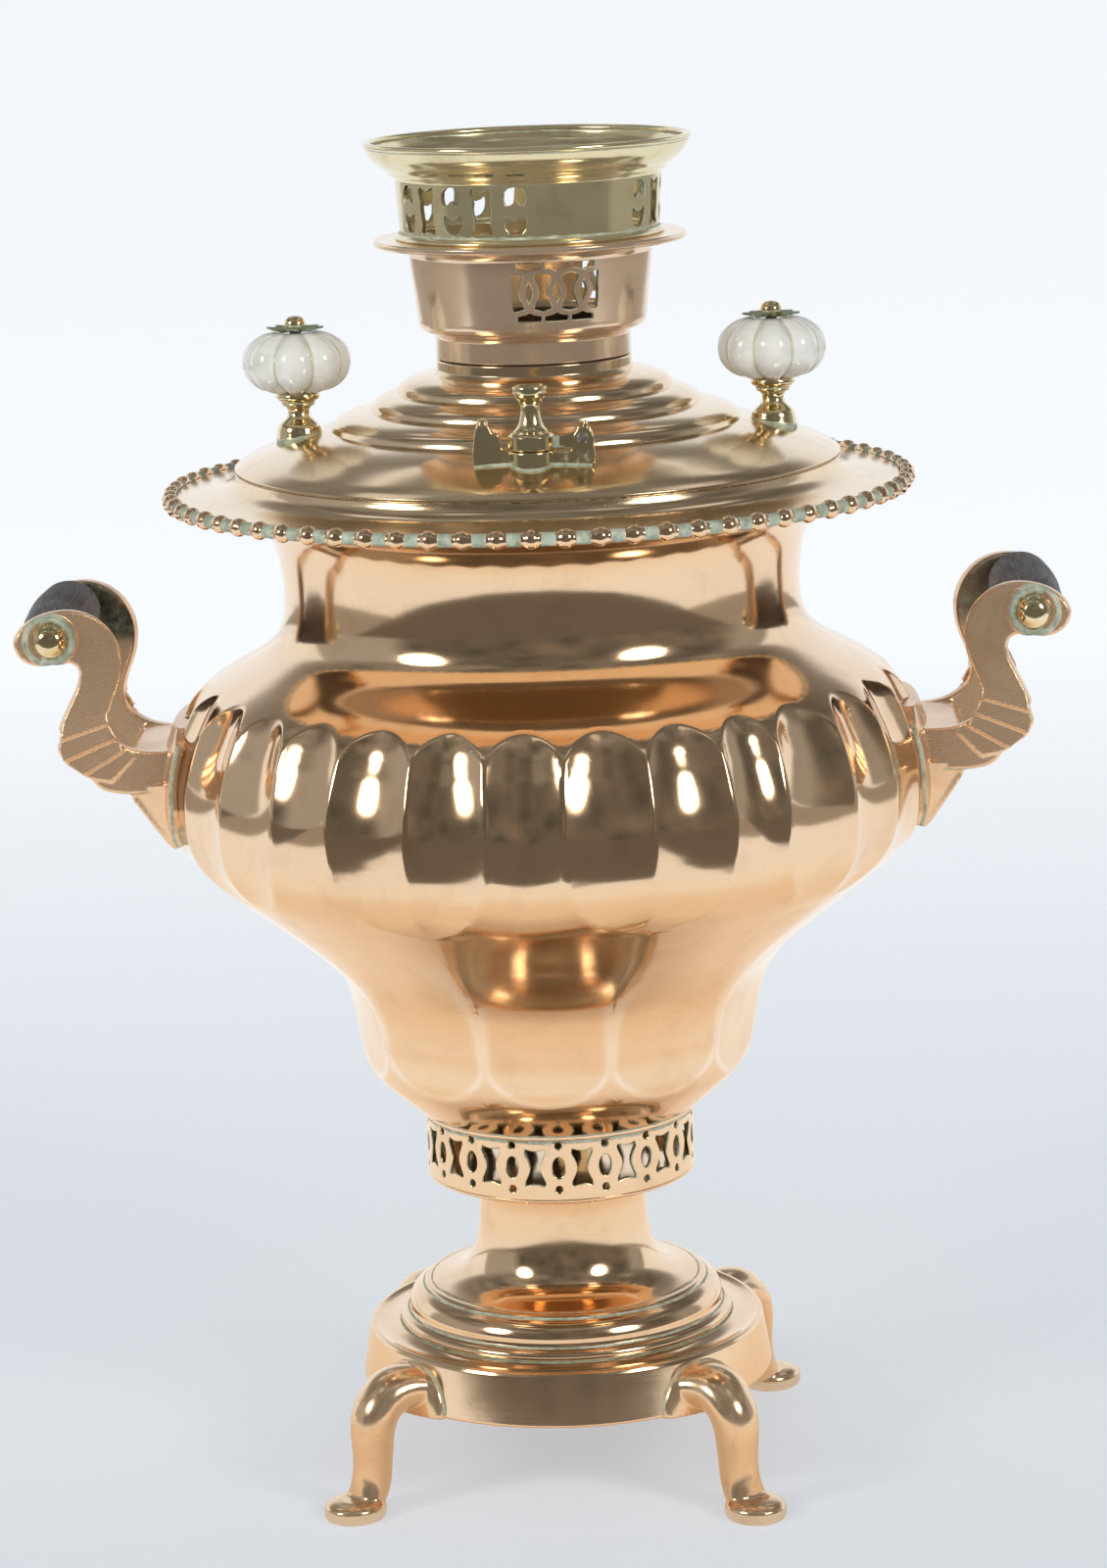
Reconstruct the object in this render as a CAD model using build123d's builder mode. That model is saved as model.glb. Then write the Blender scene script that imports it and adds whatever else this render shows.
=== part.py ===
from build123d import *
import os
from math import atan2, cos, hypot, pi, radians, sin, sqrt

os.makedirs("parts", exist_ok=True)

# Charcoal samovar, millimetres. +Z up, Z = 0 is the surface that the four paws stand on,
# the Z axis is the axis of the fire tube, +Y is the side of the tap, -Y the side of the
# steam vent and +/-X the sides of the two carrying handles.

# ---- driving dimensions -------------------------------------------------------------
base_top_z = 51.0          # top of the round base, where the pedestal stands
base_edge_r = 69.8         # top edge of the base
base_skirt_r = 71.4        # lower edge of the base's side band
base_skirt_z = 32.5
base_wall = 1.8
foot_turn = -4.0           # the feet are soldered on slightly round from the diagonals
foot_angles = {"foot_front_left": 135.0 + foot_turn, "foot_front_right": 45.0 + foot_turn,
               "foot_back_left": 225.0 + foot_turn, "foot_back_right": 315.0 + foot_turn}
paw_r = 96.0               # radius of the centre of each paw pad
stem_top_z = 103.2
ash_plate_z = 104.7        # top of the plate under the air gallery
gallery_r = 46.3
gallery_top_z = 127.5      # top of the gallery's flange: tank and fire tube stand here
gallery_holes = 18
wall = 1.5                 # sheet thickness of tank, fire tube and gallery
tank_top_z = 342.0         # joint between the tank's flange and the rim collar
tank_flange_r = 122.0
foot_seam_z = 178.0        # joints between the five rings that the tank is raised in
cone_seam_z = 219.0
belly_seam_z = 276.0
waist_seam_z = 309.0
flue_top_z = 398.1
flue_r = 30.8
bead_count = 72
bead_ring_r = 123.9
bead_z = 342.6
bead_r = 2.8
lid_seat_z = 350.8         # lip of the rim collar, the lid's edge rests on it
lid_r = 102.0
collar_bore_r = 97.0
lid_sheet = 1.2
knob_x = 79.8              # lid knobs stand on this circle, and the vent too
crown_seat_z = 426.5       # flange of the crown, the upper ring rests on it
crown_flange_r = 52.3
ring_top_z = 459.0
ring_top_r = 54.6
lattice_centres = (13.3, 133.3, 253.3)
piercing_centres = (-33.8, 86.2, 206.2)
piercing_pitch = 14.6
grip_x = 163.4             # axis of the wooden grips, parallel to Y
grip_z = 300.0
rod_r = 2.5
splay = 15.0               # splay of the bracket arms, degrees
arm_t = 5.0
tap_z = 166.0              # axis of the tap's shank
tap_y = 160.0              # axis of the tap's plug
spout_y = 188.0
spout_z = 134.0
tap_bore_r = 4.0
shank_r = 8.0

# Outer profile of the tank, radius over the crests of the flutes, from the seat on the
# gallery up to the flange under the rim collar.
tank_outer = [
    (48.4, 127.5), (54.5, 132.8), (60.3, 138.0), (64.0, 142.0), (66.4, 146.0), (68.1, 152.0),
    (69.7, 160.1), (72.7, 171.9), (77.3, 179.0), (83.1, 185.3), (98.2, 198.7), (110.6, 208.7),
    (122.0, 218.8), (127.2, 227.1), (128.8, 235.5), (129.1, 243.9), (128.2, 252.3),
    (126.0, 260.6), (122.6, 269.0), (118.6, 274.5), (112.0, 279.6), (103.9, 284.1),
    (95.5, 289.3), (90.3, 294.6), (88.0, 301.0), (87.4, 309.2), (88.3, 319.3), (91.2, 328.5),
    (95.5, 334.3), (101.5, 338.0), (110.0, 340.0), (118.0, 340.6), (tank_flange_r, 340.7),
]


def inward(points, d):
    """The same profile moved by d to its left, towards the axis for a rising profile."""
    out = []
    for i, (r, z) in enumerate(points):
        a, b = points[max(i - 1, 0)], points[min(i + 1, len(points) - 1)]
        length = hypot(b[0] - a[0], b[1] - a[1])
        out.append((r - (b[1] - a[1]) / length * d, z + (b[0] - a[0]) / length * d))
    return out


tank_inner = inward(tank_outer, wall)
tank_inner[0] = (46.0, 127.5)
tank_inner[1] = (53.2, 134.0)
tank_inner = tank_inner[:-2] + [(117.0, tank_top_z)]


def radial(phi, r, z=0.0):
    """Plane facing away from the axis; phi in degrees from -Y towards +X."""
    a = radians(phi)
    return Plane(origin=(r * sin(a), -r * cos(a), z), x_dir=(cos(a), sin(a), 0),
                 z_dir=(sin(a), -cos(a), 0))


# ---- base -----------------------------------------------------------------------------
with BuildPart() as base_plate:
    with BuildSketch(Plane.XZ):
        with BuildLine():
            Polyline((36.0, base_top_z), (58.0, base_top_z), (60.5, 50.2), (64.5, 49.9),
                     (68.0, 50.6), (69.2, 50.4), (base_edge_r, 49.4), (base_skirt_r, base_skirt_z),
                     (base_skirt_r - base_wall, base_skirt_z), (base_edge_r - base_wall, 48.2),
                     (36.0, 48.2), close=True)
        make_face()
    revolve(axis=Axis.Z)
base_plate.part.label = "base_plate"
export_step(base_plate.part, "parts/base_plate.step")

# One cast foot, built along +X: arched shield on the side band, knee, shin and paw.
with BuildPart() as foot:
    with BuildSketch(Plane.XZ):
        with BuildLine():
            Polyline((68.0, 49.9), (72.1, 49.4), (73.8, base_skirt_z), (69.4, base_skirt_z),
                     close=True)
        make_face()
    revolve(axis=Axis.Z)
    with BuildSketch(Plane.YZ.offset(60.0)):
        with Locations((0, base_skirt_z)):
            Ellipse(17.0, 16.6)
        with Locations((0, base_skirt_z - 10.0)):
            Rectangle(40.0, 20.0, mode=Mode.SUBTRACT)
    extrude(amount=20.0, mode=Mode.INTERSECT)
    leg = [  # centre x, centre z, slope of the leg's direction, half width, half height
        (69.0, 40.2, 0.0, 12.5, 7.6),
        (77.0, 41.0, -12.0, 9.6, 7.6),
        (84.2, 37.6, -48.0, 8.6, 7.6),
        (87.6, 29.0, -82.0, 7.8, 7.4),
        (87.6, 18.5, -90.0, 6.9, 6.8),
        (89.4, 9.5, -72.0, 7.2, 6.4),
        (93.0, 4.2, -50.0, 7.0, 4.0),
    ]
    for x, z, slope, hw, hh in leg:
        a = radians(slope)
        with BuildSketch(Plane(origin=(x, 0, z), x_dir=(0, 1, 0), z_dir=(cos(a), 0, sin(a)))):
            Ellipse(hw, hh)
    loft()
    with BuildSketch(Plane.XY):
        with Locations((paw_r, 0)):
            Ellipse(11.0, 10.2)
    extrude(amount=7.4, taper=18.0)
    # the shield is cast to the band's own cone, so nothing of the foot enters the base
    with BuildSketch(Plane.XZ):
        with BuildLine():
            Polyline((0, base_skirt_z - 8), (72.13, base_skirt_z - 8), (base_skirt_r, base_skirt_z),
                     (base_edge_r, 49.4), (69.2, 50.4), (68.0, 55.0), (0, 55.0), close=True)
        make_face()
    revolve(axis=Axis.Z, mode=Mode.SUBTRACT)
    with BuildSketch(Plane.XY.offset(-10.0)):
        with Locations((80, 0)):
            Rectangle(80, 60)
    extrude(amount=10.0, mode=Mode.SUBTRACT)
for name, angle in foot_angles.items():
    cast = foot.part.rotate(Axis.Z, angle)
    cast.label = name
    export_step(cast, f"parts/{name}.step")

# ---- pedestal and air gallery ---------------------------------------------------------
stem_outer = [(46.0, 65.2), (40.0, 66.6), (34.6, 70.0), (31.2, 75.5), (29.6, 82.0),
              (29.0, 90.0), (29.0, 96.5), (29.8, 99.6), (32.0, 101.8), (35.0, stem_top_z)]
stem_inner = [(43.5, 64.0), (38.8, 65.2), (33.6, 68.9), (29.8, 74.9), (28.1, 81.8),
              (27.5, 90.0), (27.5, 97.0), (28.2, 100.4), (29.4, 102.2), (30.4, stem_top_z)]
with BuildPart() as pedestal_stem:
    with BuildSketch(Plane.XZ):
        with BuildLine():
            Spline(*stem_outer)
            Line(stem_outer[-1], stem_inner[-1])
            Spline(*stem_inner[::-1])
            Polyline(stem_inner[0], (51.0, 57.6), (52.0, 52.6), (52.0, base_top_z),
                     (57.4, base_top_z), (57.8, 52.7), (57.0, 54.3), (54.9, 55.1),
                     (54.3, 56.9), (54.0, 59.6), (52.2, 62.4), (49.2, 64.0), (46.6, 64.4),
                     stem_outer[0])
        make_face()
    revolve(axis=Axis.Z)
pedestal_stem.part.label = "pedestal_stem"
export_step(pedestal_stem.part, "parts/pedestal_stem.step")

with BuildPart() as ash_plate:
    with BuildSketch(Plane.XZ):
        with BuildLine():
            Polyline((0, stem_top_z), (45.2, stem_top_z), (gallery_r, 103.9),
                     (gallery_r, ash_plate_z), (0, ash_plate_z), close=True)
        make_face()
    revolve(axis=Axis.Z)
ash_plate.part.label = "ash_plate"
export_step(ash_plate.part, "parts/ash_plate.step")

waist_hole = [(-3.4, 6.4), (0.0, 5.2), (3.4, 6.4), (3.6, 4.6), (2.0, 1.6), (1.7, 0.0), (2.0, -1.6),
              (3.6, -4.6), (3.4, -6.4), (0.0, -5.2), (-3.4, -6.4), (-3.6, -4.6), (-2.0, -1.6),
              (-1.7, 0.0), (-2.0, 1.6), (-3.6, 4.6)]
with BuildPart() as gallery_ring:
    with BuildSketch(Plane.XZ):
        with BuildLine():
            Polyline((gallery_r - wall, ash_plate_z), (gallery_r, ash_plate_z), (gallery_r, 125.0),
                     (47.0, 126.0), (47.5, 126.4), (47.5, gallery_top_z), (36.0, gallery_top_z),
                     (36.0, 126.0), (gallery_r - wall, 126.0), close=True)
        make_face()
    revolve(axis=Axis.Z)
    for i in range(gallery_holes):
        phi = 360.0 / gallery_holes * i
        with BuildSketch(radial(phi, 40.0)):
            with Locations((0, 116.0)):
                Ellipse(2.2, 3.7)
            with Locations((0, 123.6), (0, 108.4)):
                Circle(1.3)
        with BuildSketch(radial(phi + 180.0 / gallery_holes, 40.0)):
            with Locations((0, 116.0)):
                Polygon(*waist_hole, align=None)
    extrude(amount=12.0, mode=Mode.SUBTRACT)
gallery_ring.part.label = "gallery_ring"
export_step(gallery_ring.part, "parts/gallery_ring.step")

with BuildPart() as fire_grate:
    with BuildSketch(Plane.XY.offset(gallery_top_z)):
        Circle(39.6)
        with GridLocations(9.0, 0, 7, 1):
            SlotOverall(36.0, 4.4, rotation=90, mode=Mode.SUBTRACT)
    extrude(amount=3.5)
fire_grate.part.label = "fire_grate"
export_step(fire_grate.part, "parts/fire_grate.step")

# ---- tank -----------------------------------------------------------------------------
tube_outer = [(42.0, gallery_top_z), (41.6, 150.0), (40.4, 190.0), (38.0, 240.0),
              (35.0, 285.0), (32.4, 322.0), (31.0, 345.0), (flue_r, 356.0)]
with BuildPart() as fire_tube:
    with BuildSketch(Plane.XZ):
        with BuildLine():
            Spline(*tube_outer)
            Polyline(tube_outer[-1], (flue_r, flue_top_z), (flue_r - wall, flue_top_z),
                     (flue_r - wall, 356.0))
            Spline(*[(r - wall, z) for r, z in tube_outer[::-1]])
            Line((tube_outer[0][0] - wall, gallery_top_z), tube_outer[0])
        make_face()
    revolve(axis=Axis.Z)
fire_tube.part.label = "fire_tube"
export_step(fire_tube.part, "parts/fire_tube.step")

with BuildPart() as tank_floor:
    with BuildSketch(Plane.XZ):
        with BuildLine():
            Polyline((42.0, 134.5), (52.9, 134.5), (54.6, 136.0), (54.0, 137.2), (52.4, 136.0),
                     (42.0, 136.0), close=True)
        make_face()
    revolve(axis=Axis.Z)
tank_floor.part.label = "tank_floor"
export_step(tank_floor.part, "parts/tank_floor.step")

with BuildPart() as tank:
    with BuildSketch(Plane.XZ):
        with BuildLine():
            Spline(*tank_outer)
            Polyline(tank_outer[-1], (tank_flange_r, tank_top_z), tank_inner[-1])
            Spline(*tank_inner[::-1])
            Line(tank_inner[0], tank_outer[0])
        make_face()
    revolve(axis=Axis.Z)
    with BuildSketch(Plane.XZ.offset(-50.0)):
        with Locations((0, tap_z)):
            Circle(shank_r)
    extrude(amount=-40.0, mode=Mode.SUBTRACT)

# the tank is raised in five rings, brazed edge to edge and burnished over
for name, z0, z1 in (("tank_foot", gallery_top_z, foot_seam_z), ("tank_cone", foot_seam_z, cone_seam_z),
                     ("tank_belly", cone_seam_z, belly_seam_z), ("tank_shoulder", belly_seam_z, waist_seam_z),
                     ("tank_neck", waist_seam_z, tank_top_z)):
    with BuildPart() as ring:
        add(tank.part)
        with BuildSketch(Plane.XY.offset(z0)):
            Circle(140.0)
        extrude(amount=z1 - z0, mode=Mode.INTERSECT)
    ring.part.label = name
    export_step(ring.part, f"parts/{name}.step")

with BuildPart() as rim_collar:
    with BuildSketch(Plane.XZ):
        with BuildLine():
            Line((collar_bore_r, lid_seat_z), (lid_r, lid_seat_z))
            Spline((lid_r, lid_seat_z), (102.6, 348.6), (104.6, 346.4), (108.5, 344.9),
                   (114.0, 344.0), (119.0, 343.5), (tank_flange_r, 343.4))
            Polyline((tank_flange_r, 343.4), (tank_flange_r, tank_top_z), (117.0, tank_top_z),
                     (112.0, 342.7), (108.2, 343.4), (103.6, 345.1), (101.2, 347.8),
                     (100.7, 349.2), (collar_bore_r + 1.4, 349.2), (collar_bore_r + 1.4, 344.0),
                     (collar_bore_r, 344.0), (collar_bore_r, lid_seat_z))
        make_face()
    revolve(axis=Axis.Z)
rim_collar.part.label = "rim_collar"
export_step(rim_collar.part, "parts/rim_collar.step")

with BuildPart() as bead_ring:
    with BuildSketch(Plane.XZ):
        with BuildLine():
            Polyline((tank_flange_r, 341.0), (123.6, 341.0), (124.2, 342.6), (123.6, 344.2),
                     (tank_flange_r, 344.2), close=True)
        make_face()
    revolve(axis=Axis.Z)
    with PolarLocations(bead_ring_r, bead_count):
        with Locations((0, 0, bead_z)):
            Sphere(bead_r)
    with BuildSketch(Plane.XY.offset(330.0)):
        Circle(tank_flange_r)
    extrude(amount=25.0, mode=Mode.SUBTRACT)
bead_ring.part.label = "bead_ring"
export_step(bead_ring.part, "parts/bead_ring.step")

# ---- lid ------------------------------------------------------------------------------
neck = [(32.9, 386.0), (32.9, 382.6), (33.9, 381.3)]
tier_1 = [(33.9, 381.3), (38.5, 380.5), (43.0, 379.2), (45.6, 377.3), (46.3, 375.2)]
tier_2 = [(46.3, 375.2), (50.3, 374.4), (53.3, 373.0), (55.0, 371.4), (55.5, 369.7)]
tier_3 = [(55.5, 369.7), (61.0, 368.7), (65.4, 367.4), (68.2, 365.6), (69.1, 363.4)]
dish = [(69.1, 363.4), (74.5, 362.3), (79.8, 361.0), (88.0, 358.3), (95.0, 355.6),
        (100.0, 353.3), (lid_r, 352.0)]


def lower(points):
    """The underside of a stretch of the lid, one sheet below its top."""
    return [(r, z - lid_sheet) for r, z in points[::-1]]


with BuildPart() as lid:
    with BuildSketch(Plane.XZ):
        with BuildLine():
            Polyline(*neck)
            Spline(*tier_1)
            Spline(*tier_2)
            Spline(*tier_3)
            Spline(*dish)
            Polyline((lid_r, 352.0), (lid_r, lid_seat_z), (99.4, lid_seat_z), (98.4, 352.6),
                     (96.5, 353.6), (96.5, 342.5), (95.3, 342.5), (95.3, 354.2))
            Spline((95.3, 354.2), *lower(dish)[3:])
            Spline(*lower(tier_3))
            Spline(*lower(tier_2))
            Spline(*lower(tier_1))
            Polyline((33.9, 381.3 - lid_sheet), (31.7, 381.6), (31.7, 386.0), (32.9, 386.0))
        make_face()
    revolve(axis=Axis.Z)
    # holes for the two knob studs and for the steam vent
    with BuildSketch(Plane.XY.offset(350.0)):
        with Locations((knob_x, 0), (-knob_x, 0)):
            Circle(2.0)
        with Locations((0, -knob_x)):
            Circle(3.0)
    extrude(amount=20.0, mode=Mode.SUBTRACT)
lid.part.label = "lid"
export_step(lid.part, "parts/lid.step")

with BuildPart() as under_lid:  # everything below the lid's top surface near R = knob_x
    with BuildSketch(Plane.XZ):
        with BuildLine():
            Spline(*dish)
            Polyline((lid_r, 352.0), (lid_r, 340.0), (69.1, 340.0), (69.1, 363.4))
        make_face()
    revolve(axis=Axis.Z)

knob_parts = {"left": -knob_x, "right": knob_x}
for side, kx in knob_parts.items():
    with BuildPart() as knob_stem:
        with BuildSketch(Plane.XZ):
            with BuildLine():
                Polyline((0, 355.0), (7.4, 355.0), (7.4, 361.4), (7.0, 363.2))
                Spline((7.0, 363.2), (6.6, 365.2), (4.4, 367.4), (3.7, 369.4), (4.4, 371.2),
                       (5.6, 372.6), (7.2, 374.0), (7.4, 375.2), (7.0, 376.2))
                Polyline((7.0, 376.2), (0, 376.2), (0, 355.0))
            make_face()
        revolve(axis=Axis.Z)
        with BuildSketch(Plane.XY.offset(350)):
            Circle(2.0)
        extrude(amount=40.0, mode=Mode.SUBTRACT)
    piece = Pos(kx, 0, 0) * knob_stem.part - under_lid.part
    piece.label = f"knob_stem_{side}"
    export_step(piece, f"parts/knob_stem_{side}.step")

    with BuildPart() as knob_melon:
        with BuildSketch(Plane.XZ):
            with BuildLine():
                Polyline((2.0, 396.0), (2.0, 376.2), (8.0, 376.2))
                Spline((8.0, 376.2), (13.6, 377.8), (17.2, 382.0), (18.2, 386.6),
                       (17.0, 391.2), (13.2, 395.0), (8.0, 396.6), (5.0, 396.0))
                Line((5.0, 396.0), (2.0, 396.0))
            make_face()
        revolve(axis=Axis.Z)
        # creases between the eight lobes of the melon
        with PolarLocations(21.4, 8, start_angle=22.5):
            with Locations((0, 0, 386.4)):
                Cylinder(3.9, 30.0, mode=Mode.SUBTRACT)
    piece = Pos(kx, 0, 0) * knob_melon.part
    piece.label = f"knob_melon_{side}"
    export_step(piece, f"parts/knob_melon_{side}.step")

    with BuildPart() as knob_leaf:
        with BuildSketch(Plane.XZ):
            with BuildLine():
                Polyline((2.0, 396.7), (8.6, 396.7), (8.8, 397.3), (5.0, 398.2), (2.0, 398.4),
                         close=True)
            make_face()
        revolve(axis=Axis.Z)
        with PolarLocations(9.6, 8):
            with Locations((0, 0, 397.0)):
                Cylinder(1.7, 6.0, mode=Mode.SUBTRACT)
    piece = Pos(kx, 0, 0) * knob_leaf.part
    piece.label = f"knob_leaf_{side}"
    export_step(piece, f"parts/knob_leaf_{side}.step")

    with BuildPart() as knob_nut:
        with BuildSketch(Plane.XZ):
            with BuildLine():
                Line((2.0, 398.4), (3.6, 398.4))
                Spline((3.6, 398.4), (3.4, 399.8), (2.2, 401.2), (0.0, 401.8))
                Polyline((0.0, 401.8), (0.0, 400.2), (2.0, 400.2), (2.0, 398.4))
            make_face()
        revolve(axis=Axis.Z)
    piece = Pos(kx, 0, 0) * knob_nut.part
    piece.label = f"knob_nut_{side}"
    export_step(piece, f"parts/knob_nut_{side}.step")

# studs through lid, stem and melon, with a lock nut under the lid on each
with BuildPart() as knob_studs:
    with Locations((knob_x, 0, 351.0), (-knob_x, 0, 351.0)):
        Cylinder(2.0, 400.2 - 351.0, align=(Align.CENTER, Align.CENTER, Align.MIN))
knob_studs.part.label = "knob_studs"
export_step(knob_studs.part, "parts/knob_studs.step")

with BuildPart() as knob_lock_nuts:
    with BuildSketch(Plane.XY.offset(355.1)):
        with Locations((knob_x, 0), (-knob_x, 0)):
            RegularPolygon(4.6, 6)
            Circle(2.0, mode=Mode.SUBTRACT)
    extrude(amount=3.2)
knob_lock_nuts.part.label = "knob_lock_nuts"
export_step(knob_lock_nuts.part, "parts/knob_lock_nuts.step")

# ---- steam vent on the lid ------------------------------------------------------------
vent_seat_z = 365.0        # top of the seat, the cap's disc rests on it
pin_x, pin_z = 16.5, 368.6
with BuildPart() as vent_seat:
    with BuildSketch(Plane.XY.offset(356.0)):
        Circle(7.3)
    extrude(amount=vent_seat_z - 356.0)
    # strap on the lid, thumb fin on the left
    with BuildSketch(Plane.XZ.offset(-2.3)):
        with BuildLine():
            Polyline((-14.0, 356.0), (-18.7, 359.4), (-18.9, 364.0), (-18.2, 370.0), (-17.3, 373.2),
                     (-16.4, 375.2), (-14.5, 375.2), (-13.6, 373.2), (-12.4, 370.6), (-10.4, 370.2),
                     (-9.4, 365.8), (-7.6, 364.4), (12.6, 364.4), (14.0, 356.0), close=True)
        make_face()
    extrude(amount=4.6)
    # hinge fork on the right, with a small horn on its outer cheek
    with BuildSketch(Plane.XZ.offset(-3.3)):
        with BuildLine():
            Polyline((11.6, 356.0), (11.6, 364.2), (12.8, 364.8), (13.6, 369.4), (15.2, 371.8),
                     (17.0, 372.4), (19.0, 371.4), (20.2, 368.8), (20.0, 365.6), (20.6, 362.4),
                     (18.6, 356.0), close=True)
        make_face()
    extrude(amount=6.6)
    with BuildSketch(Plane.XY.offset(371.4)):
        with Locations((17.6, -2.45)):
            Circle(0.8)
    extrude(amount=2.7)
    with BuildSketch(Plane.XY.offset(364.4)):
        with Locations((16.6, 0)):
            Rectangle(11.0, 3.1)
    extrude(amount=12.0, mode=Mode.SUBTRACT)
    with BuildSketch(Plane.XY.offset(350.0)):
        Circle(3.0)
    extrude(amount=30.0, mode=Mode.SUBTRACT)
    with BuildSketch(Plane.XZ.offset(-10.0)):
        with Locations((pin_x, pin_z)):
            Circle(1.1)
    extrude(amount=20.0, mode=Mode.SUBTRACT)
piece = Pos(0, -knob_x, 0) * vent_seat.part - under_lid.part
piece.label = "vent_seat"
export_step(piece, "parts/vent_seat.step")

with BuildPart() as vent_cap:
    with BuildSketch(Plane.XZ):
        with BuildLine():
            Polyline((0, vent_seat_z), (7.1, vent_seat_z), (7.35, 365.3), (7.35, 369.4), (7.0, 369.9))
            Spline((7.0, 369.9), (5.2, 371.2), (3.7, 373.8), (3.1, 377.2), (3.3, 380.0),
                   (4.6, 382.2), (5.4, 383.8))
            Polyline((5.4, 383.8), (5.6, 385.0), (4.8, 385.6), (4.0, 384.8), (0, 384.0),
                     (0, vent_seat_z))
        make_face()
    revolve(axis=Axis.Z)
    # arm from the disc to the eye round the pin
    with BuildSketch(Plane.XZ.offset(-1.3)):
        with BuildLine():
            Polyline((5.0, 365.2), (12.0, 365.4), (16.6, 365.7), (18.4, 366.6), (19.0, 368.6),
                     (18.5, 370.3), (16.6, 371.2), (14.6, 371.0), (12.6, 370.0), (9.5, 369.0),
                     (5.0, 369.2), close=True)
        make_face()
    extrude(amount=2.6)
    with BuildSketch(Plane.XZ.offset(-10.0)):
        with Locations((pin_x, pin_z)):
            Circle(1.15)
    extrude(amount=20.0, mode=Mode.SUBTRACT)
piece = Pos(0, -knob_x, 0) * vent_cap.part
piece.label = "vent_cap"
export_step(piece, "parts/vent_cap.step")

with BuildPart() as vent_pin:
    with BuildSketch(Plane.XZ.offset(-4.2)):
        with Locations((pin_x, pin_z)):
            Circle(1.1)
    extrude(amount=8.4)
    for y in (-4.3, 3.3):
        with BuildSketch(Plane.XZ.offset(y)):
            with Locations((pin_x, pin_z)):
                Circle(1.9)
        extrude(amount=1.0)
piece = Pos(0, -knob_x, 0) * vent_pin.part
piece.label = "vent_pin"
export_step(piece, "parts/vent_pin.step")

# ---- crown: the teapot stand over the flue --------------------------------------------
lattice_pitch = 13.4       # degrees between the ovals of a window
slot_outline = [(-3.9, 9.6), (3.9, 9.6), (3.9, 7.9), (1.2, 7.4), (0.0, 6.8), (-1.2, 7.4), (-3.9, 7.9)]
waist_outline = [(-2.9, 5.4), (0.0, 6.2), (2.9, 5.4), (2.5, 3.6), (1.4, 1.8), (1.1, 0.0), (1.4, -1.8),
                 (2.5, -3.6), (2.9, -5.4), (0.0, -6.2), (-2.9, -5.4), (-2.5, -3.6), (-1.4, -1.8),
                 (-1.1, 0.0), (-1.4, 1.8), (-2.5, 3.6)]
half_waist_outline = [(0.5, 6.2), (2.9, 5.4), (2.5, 3.6), (1.4, 1.8), (1.1, 0.0), (1.4, -1.8),
                      (2.5, -3.6), (2.9, -5.4), (0.5, -6.2), (-0.9, -6.2), (-0.9, 6.2)]
with BuildPart() as crown:
    with BuildSketch(Plane.XZ):
        with BuildLine():
            Polyline((31.2, flue_top_z), (31.2, 386.5), (32.7, 386.5), (32.7, 393.4))
            Spline((32.7, 393.4), (33.4, 394.8), (36.4, 395.8), (37.9, 397.4), (38.3, 399.6))
            Line((38.3, 399.6), (40.7, 420.8))
            Spline((40.7, 420.8), (41.4, 422.4), (44.2, 423.8), (48.6, 424.2))
            Polyline((48.6, 424.2), (51.8, 424.2), (crown_flange_r, 424.8),
                     (crown_flange_r, 425.9), (51.8, crown_seat_z), (39.3, crown_seat_z),
                     (39.2, 420.8), (36.9, 400.6), (36.6, flue_top_z + 1.5),
                     (28.0, flue_top_z + 1.5), (28.0, flue_top_z), (31.2, flue_top_z))
        make_face()
    revolve(axis=Axis.Z)
    # three lattice windows: pointed ovals, waisted holes between, slots above and below
    for centre in lattice_centres:
        for i in (-1, 0, 1):
            with BuildSketch(radial(centre + i * lattice_pitch, 30.0)):
                with BuildLine():
                    ThreePointArc((0, 407.4), (1.1, 410.8), (0, 414.2))
                    ThreePointArc((0, 414.2), (-1.1, 410.8), (0, 407.4))
                make_face()
            for side in (-1, 1):  # the slot over the oval, and the one under it
                with BuildSketch(radial(centre + i * lattice_pitch, 30.0)):
                    with BuildLine():
                        Polyline(*[(x, 410.8 + side * z) for x, z in slot_outline], close=True)
                    make_face()
        for i in (-0.5, 0.5):
            with BuildSketch(radial(centre + i * lattice_pitch, 30.0)):
                with BuildLine():
                    Polyline(*[(x, 410.8 + z) for x, z in waist_outline], close=True)
                make_face()
        for i, s in ((-1.5, 1), (1.5, -1)):
            with BuildSketch(radial(centre + i * lattice_pitch, 30.0)):
                with BuildLine():
                    Polyline(*[(s * x, 410.8 + z) for x, z in half_waist_outline], close=True)
                make_face()
    extrude(amount=20.0, mode=Mode.SUBTRACT)
crown.part.label = "crown"
export_step(crown.part, "parts/crown.step")

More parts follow.
